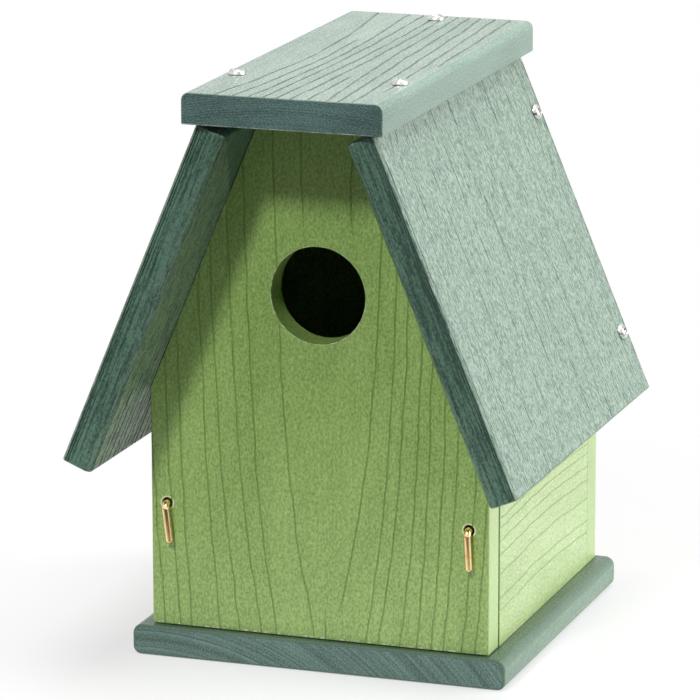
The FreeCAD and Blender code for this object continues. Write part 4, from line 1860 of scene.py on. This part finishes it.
@dataclass
class ScrewSet(NodeTool):
    """Every pan-head screw of the house: one is made and then set at every place."""

    head_height: float = 2.2
    head_round: float = 1.7
    head_lip: float = 0.3
    head_lean: float = math.radians(14)
    thread: Thread = Thread(core=1.2, outside=1.75, pitch=1.4, point=4.5)
    recess_span: float = 4.0
    recess_width: float = 1.1
    recess_depth: float = 1.6
    recess_taper: float = 0.55
    turn_seed: int = 4

    # The points of each ring, and the straight lengths of the dome
    STEPS = 40
    DOME_STEPS = 10

    def __post_init__(self) -> None:
        """Builds the tree: thread, head and recess, set at every seat."""
        super().__init__("pan_screws")
        seats = self.ask("Seats", "Geometry")
        blank, recess = self.ask_object("Blank"), self.ask_object("Recess")
        ridge = self.ask_ridge()
        seed, material = self.ask("Seed", "Int"), self.ask("Steel", "Material")
        screw = self.cut(self.combine(Combining.JOIN, None, [blank, ridge]), [recess])
        sheet = self.sheet
        spin = sheet.add("FunctionNodeRandomValue", {"data_type": "FLOAT"},
                         {"Min_001": 0.0, "Max_001": math.tau, "Seed": seed}, "Value_001")
        turn = sheet.add("FunctionNodeAxisAngleToRotation", {}, {"Axis": (0.0, 0.0, 1.0), "Angle": spin})
        facing = self.named("facing", "FLOAT_VECTOR")
        aim = sheet.add("FunctionNodeAlignRotationToVector", {"axis": "Z"}, {"Vector": facing})
        both = sheet.add("FunctionNodeRotateRotation", {"rotation_space": "LOCAL"},
                         {"Rotation": aim, "Rotate By": turn})
        placed = sheet.add("GeometryNodeInstanceOnPoints", {},
                           {"Points": seats, "Instance": screw, "Rotation": both})
        self.deliver(placed, [(material, None)])

    @staticmethod
    def facing(name: str) -> Vector:
        """Returns the way a screw's head faces, by the board that it sits on.

        Args:
            name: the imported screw's name.

        Returns:
            The way, one unit long.
        """
        if name.startswith("roof_screw"):
            hand = Hand.LEFT if "left" in name else Hand.RIGHT
            return RoofBoard.slope(CadNode(f"{hand.word}_roof_board"))[2]
        return {"cap": UP, "base": -UP, "back": -AHEAD}[name.split("_")[0]]

    def seat(self, name: str) -> Vector:
        """Finds the middle of a screw's seat, under its head.

        Args:
            name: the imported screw's name.

        Returns:
            The place in the house.
        """
        node, way = CadNode(name), self.facing(name)
        side = way.orthogonal().normalized()
        place = way * (node.extent(way)[1] - self.head_height)
        for across in (side, way.cross(side)):
            place += across * sum(node.extent(across)) / 2
        return place

    def profile(self, node: CadNode) -> list[Flat]:
        """Lays out a screw without its thread.

        Args:
            node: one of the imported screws.

        Returns:
            Pairs of radius and height, from the point up to the head's top.
        """
        way = self.facing(node.name)
        low, high = node.extent(way)
        side = node.extent(way.orthogonal().normalized())
        radius, tip = (side[1] - side[0]) / 2, self.head_height - (high - low)
        lean = self.head_lean
        rise = (self.head_height - self.head_lip) / (1 - math.sin(lean))
        dome = []
        for step in range(self.DOME_STEPS + 1):
            angle = lean + (math.pi / 2 - lean) * step / self.DOME_STEPS
            dome.append((radius - self.head_round * (math.cos(lean) - math.cos(angle)),
                         self.head_height - rise * (1 - math.sin(angle))))
        core, base = self.thread.core, tip + self.thread.point
        return [(0.0, tip), (core, base), (core, 0.0), (radius - self.head_lip, 0.0), *dome,
                (0.0, self.head_height)]

    def recess_cutter(self) -> bmesh.types.BMesh:
        """Makes the cross that cuts the recess, narrower at its bottom.

        Returns:
            The cross in metres.
        """
        span, width = self.recess_span / 2, self.recess_width / 2
        corners = [(span, -width), (span, width), (width, width), (width, span), (-width, span),
                   (-width, width), (-span, width), (-span, -width), (-width, -width), (-width, -span),
                   (width, -span), (width, -width)]
        levels = ((self.recess_taper, self.head_height - self.recess_depth),
                  (1.0, self.head_height + CUT_CLEAR))
        return skinned([[Vector((x * scale, y * scale, height)) for x, y in corners]
                        for scale, height in levels])

    def build(self) -> bpy.types.Object:
        """Makes all the screws as one piece of the house.

        Returns:
            The finished piece.
        """
        names = sorted(name for name in frame["nodes"] if "_screw" in name)
        seats = bpy.data.meshes.new("screw_seats")
        seats.from_pydata([self.seat(name) * MM for name in names], [], [])
        ways = seats.attributes.new("facing", "FLOAT_VECTOR", "POINT")
        ways.data.foreach_set("vector", [part for name in names for part in self.facing(name)])
        profile = self.profile(CadNode(names[0]))
        base = profile[1][1]
        mesh = self.run(add_object(seats, "screw_seats"), {
            "Blank": on_bench(turned(profile, self.STEPS), "screw_blank"),
            "Recess": on_bench(self.recess_cutter(), "recess"),
            **self.thread.settings(base, -self.thread.pitch),
            "Seed": self.turn_seed,
            "Steel": STEEL.build(),
        })
        piece = add_object(even_shading(mesh), "house_screws")
        hand_over(piece, "house", "steel_screw", names)
        return piece


@dataclass
class ScrewHook(NodeTool):
    """A square-bend screw hook: wire out of the panel, round a bend and down, with a threaded shank."""

    hand: Hand
    wire: float = 3.0
    bend: float = 2.2
    leg: float = 16.0
    thread: Thread = Thread(core=0.95, outside=1.3, pitch=1.25, point=4.0)
    stub: float = 1.0
    end_chamfer: float = 0.6
    end_scale: float = 0.72

    # The points round the wire and its core, and the points of the bend
    STEPS = 28
    BEND_STEPS = 10

    def __post_init__(self) -> None:
        """Builds the tree: the bent wire, the shank's core and its thread, in one."""
        super().__init__(f"{self.hand.word}_screw_hook")
        path, core = self.ask("Path", "Geometry"), self.ask_object("Core")
        bend, wire = self.ask("Bend Radius", "Float"), self.ask("Wire Radius", "Float")
        ridge = self.ask_ridge()
        material = self.ask("Brass", "Material")
        sheet = self.sheet
        curve = sheet.add("GeometryNodeMeshToCurve", {}, {"Mesh": path})
        curve = sheet.add("GeometryNodeFilletCurve", {"mode": "POLY"},
                          {"Curve": curve, "Count": self.BEND_STEPS, "Radius": bend, "Limit Radius": True})
        section = sheet.add("GeometryNodeCurvePrimitiveCircle", {"mode": "RADIUS"},
                            {"Resolution": self.STEPS, "Radius": wire})
        swept = sheet.add("GeometryNodeCurveToMesh", {},
                          {"Curve": curve, "Profile Curve": section, "Scale": self.named("gauge"),
                           "Fill Caps": True})
        self.deliver(self.combine(Combining.JOIN, None, [swept, core, ridge]), [(material, None)])

    @property
    def node(self) -> CadNode:
        """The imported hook."""
        return CadNode(f"{self.hand.word}_hook")

    @property
    def axis(self) -> Vector:
        """Where the hook's shank leaves the panel's face."""
        return joint_place(f"{self.hand.word}_hook_turn")

    @property
    def standoff(self) -> float:
        """How far the leg's middle stands out from the panel."""
        return self.axis.y - self.node.low.y - self.wire / 2

    @property
    def reach(self) -> float:
        """How far the point lies behind the panel's face."""
        return self.node.high.y - self.axis.y

    @property
    def shoulder(self) -> float:
        """How far behind the panel's face the wire ends, between the panel and the wall."""
        wall = CadNode(f"{self.hand.word}_wall")
        return (CadNode("front_panel").high.y + wall.low.y) / 2 - self.axis.y

    def path(self) -> bpy.types.Object:
        """Makes the wire's middle line, in the hook's own frame: Z out of the panel, Y up.

        Returns:
            The line, which carries the wire's gauge at each of its points.
        """
        down = self.leg - self.end_chamfer
        places = [(0, 0, -self.shoulder), (0, 0, self.standoff), (0, -down, self.standoff),
                  (0, -self.leg, self.standoff)]
        edges = [(number, number + 1) for number in range(len(places) - 1)]
        mesh = bpy.data.meshes.new("hook_path")
        mesh.from_pydata([Vector(place) * MM for place in places], edges, [])
        gauge = mesh.attributes.new("gauge", "FLOAT", "POINT")
        gauge.data.foreach_set("value", [1.0] * len(edges) + [self.end_scale])
        return add_object(mesh, "hook_path")

    def core(self) -> bpy.types.Object:
        """Makes the shank's core, with its point and a stub that ends inside the wire.

        Returns:
            The core, in the hook's own frame.
        """
        tip, end, radius = -self.reach, self.stub - self.shoulder, self.thread.core
        profile = [(0.0, tip), (radius, tip + self.thread.point), (radius, end), (0.0, end)]
        return on_bench(turned(profile, self.STEPS), "hook_core")

    def place(self) -> Matrix:
        """Works out the hook's place in the house, with the lean of its leg.

        Returns:
            The move from the hook's own frame, in metres.
        """
        points = self.node.points()
        lowest = min(point.z for point in points)
        tip = [point.x for point in points if point.z < lowest + self.wire / 2]
        drift = (min(tip) + max(tip)) / 2 - self.axis.x
        lean = Matrix.Rotation(math.asin(drift / self.leg), 3, "Z")
        turn = Matrix((RIGHT_HAND, UP, AHEAD)).transposed() @ lean
        return Matrix.Translation(self.axis * MM) @ turn.to_4x4()

    def build(self, material: bpy.types.Material) -> bpy.types.Object:
        """Makes the hook and hands it over.

        Args:
            material: the brass.

        Returns:
            The finished piece.
        """
        base = self.thread.point - self.reach
        mesh = self.run(self.path(), {
            "Core": self.core(),
            "Bend Radius": self.bend * MM,
            "Wire Radius": self.wire / 2 * MM,
            **self.thread.settings(base, -self.shoulder),
            "Brass": material,
        })
        mesh.transform(self.place())
        piece = add_object(even_shading(mesh), f"brass_{self.hand.word}_hook")
        body = f"{self.hand.word}_hook"
        hand_over(piece, body, "brass_hook", [body])
        return piece


# Studio
@dataclass(frozen=True)
class Lamp:
    """A square soft lamp that looks at the house.

    Attributes:
        name: the lamp's name.
        azimuth: degrees to the right of straight ahead.
        elevation: degrees above level.
        distance: metres from the house's middle.
        size: the side of the square in metres.
        level: the share of a written colour that a surface facing the lamp gets from it.
    """

    name: str
    azimuth: float
    elevation: float
    distance: float
    size: float
    level: float

    def build(self, target: Vector) -> None:
        """Adds the lamp to the scene.

        Args:
            target: the place that it looks at, in metres.
        """
        data = bpy.data.lights.new(self.name, "AREA")
        data.size = self.size
        data.energy = self.level * (math.pi * self.distance) ** 2
        lamp = bpy.data.objects.new(self.name, data)
        away = direction(self.azimuth, self.elevation)
        lamp.location = target + away * self.distance
        lamp.rotation_euler = away.to_track_quat("Z", "Y").to_euler()
        bpy.context.scene.collection.objects.link(lamp)


def direction(azimuth: float, elevation: float) -> Vector:
    """Returns the way from the house to a place around it.

    Args:
        azimuth: degrees to the right of the front.
        elevation: degrees above level.

    Returns:
        The way, one unit long.
    """
    around, up = math.radians(azimuth), math.radians(elevation)
    level = math.cos(up)
    return Vector((math.sin(around) * level, -math.cos(around) * level, math.sin(up)))


@dataclass(frozen=True)
class Studio:
    """The pale floor, the soft lamps and the camera at the photograph's view.

    Attributes:
        lamps: the lamps.
        sky_level: the strength of the even light from all round.
        floor_radius: the floor's radius in metres.
        floor_steps: the corners of its rim.
        floor_gap: how far it lies under the base.
        focal_length: the camera's focal length.
        sensor: the width of its sensor.
        yaw: how far to the right of the front it stands, in degrees.
        pitch: how far above level it stands, in degrees.
        roll: how far it is turned about the way it looks, in degrees.
        aim: the place that it looks at.
        distance: how far from that place it stands.
    """

    lamps: tuple[Lamp, ...] = (
        Lamp("front_lamp", azimuth=-6.0, elevation=43.0, distance=2.4, size=0.3, level=0.5),
        Lamp("side_lamp", azimuth=105.0, elevation=15.0, distance=2.2, size=1.6, level=1.2),
        Lamp("top_lamp", azimuth=90.0, elevation=80.0, distance=2.2, size=1.2, level=0.8),
    )
    sky_level: float = 0.04
    floor_radius: float = 8.0
    floor_steps: int = 96
    floor_gap: float = 0.2
    focal_length: float = 249.4
    sensor: float = 36.0
    yaw: float = 19.16
    pitch: float = 13.789
    roll: float = -0.113
    aim: tuple[float, float, float] = (-12.737, 0.0, 114.582)
    distance: float = 2005.43

    def build(self) -> None:
        """Builds the studio round the house."""
        scene = bpy.context.scene
        scene.view_settings.view_transform = "Standard"
        self.sky(scene)
        self.floor()
        middle = (CAD_BOX[0] + CAD_BOX[1]) / 2
        for lamp in self.lamps:
            lamp.build(middle)
        scene.camera = self.camera()
        log.info("studio: %d lamps, a floor and a camera", len(self.lamps))

    def sky(self, scene: bpy.types.Scene) -> None:
        """Lights the house evenly from all round, and looks white itself.

        Args:
            scene: the scene that gets the new world.
        """
        scene.world = bpy.data.worlds.new("studio_white")
        scene.world.use_nodes = True
        scene.world.node_tree.nodes.clear()
        sheet = NodeSheet(scene.world.node_tree)
        seen = sheet.ray("Is Camera Ray") + sheet.ray("Is Glossy Ray") + sheet.ray("Is Transmission Ray")
        strength = self.sky_level + seen.between(0.0, 1.0) * (1.0 - self.sky_level)
        light = sheet.add("ShaderNodeBackground", {}, {"Color": (1.0, 1.0, 1.0, 1.0), "Strength": strength})
        sheet.add("ShaderNodeOutputWorld", {}, {"Surface": light})

    def floor(self) -> None:
        """Lays the floor just under the base."""
        mesh = bmesh.new()
        bmesh.ops.create_circle(mesh, cap_ends=True, segments=self.floor_steps, radius=self.floor_radius)
        floor = on_bench(mesh, "floor")
        floor.location.z = CAD_BOX[0].z - self.floor_gap * MM
        floor.data.materials.append(FloorFinish().build())

    def camera(self) -> bpy.types.Object:
        """Sets the camera where the photograph was taken from.

        Returns:
            The camera.
        """
        data = bpy.data.cameras.new("photo_view")
        data.sensor_width = self.sensor
        data.lens = self.focal_length
        data.clip_start = MM
        camera = bpy.data.objects.new("photo_view", data)
        back = direction(self.yaw, self.pitch)
        right = UP.cross(back).normalized()
        turn = Matrix((right, back.cross(right), back)).transposed()
        turn = turn @ Matrix.Rotation(math.radians(self.roll), 3, "Z")
        place = (Vector(self.aim) + back * self.distance) * MM
        camera.matrix_world = Matrix.Translation(place) @ turn.to_4x4()
        bpy.context.scene.collection.objects.link(camera)
        return camera


def main() -> None:
    """Builds the studio, the boards, the screws and the hooks, in that order."""
    logging.basicConfig(level=logging.INFO, format="%(name)s: %(message)s")
    Studio().build()
    carver = GrainCarver()
    stocks = (GREEN_STOCK, WALL_STOCK, CAP_STOCK, BASE_STOCK, COMBED_STOCK)
    materials = {stock: stock.materials() for stock in stocks}
    for board in boards():
        board.build(carver, materials[board.stock])
    ScrewSet().build()
    brass = BRASS.build()
    for hand in Hand:
        ScrewHook(hand).build(brass)


if __name__ == "__main__":
    main()
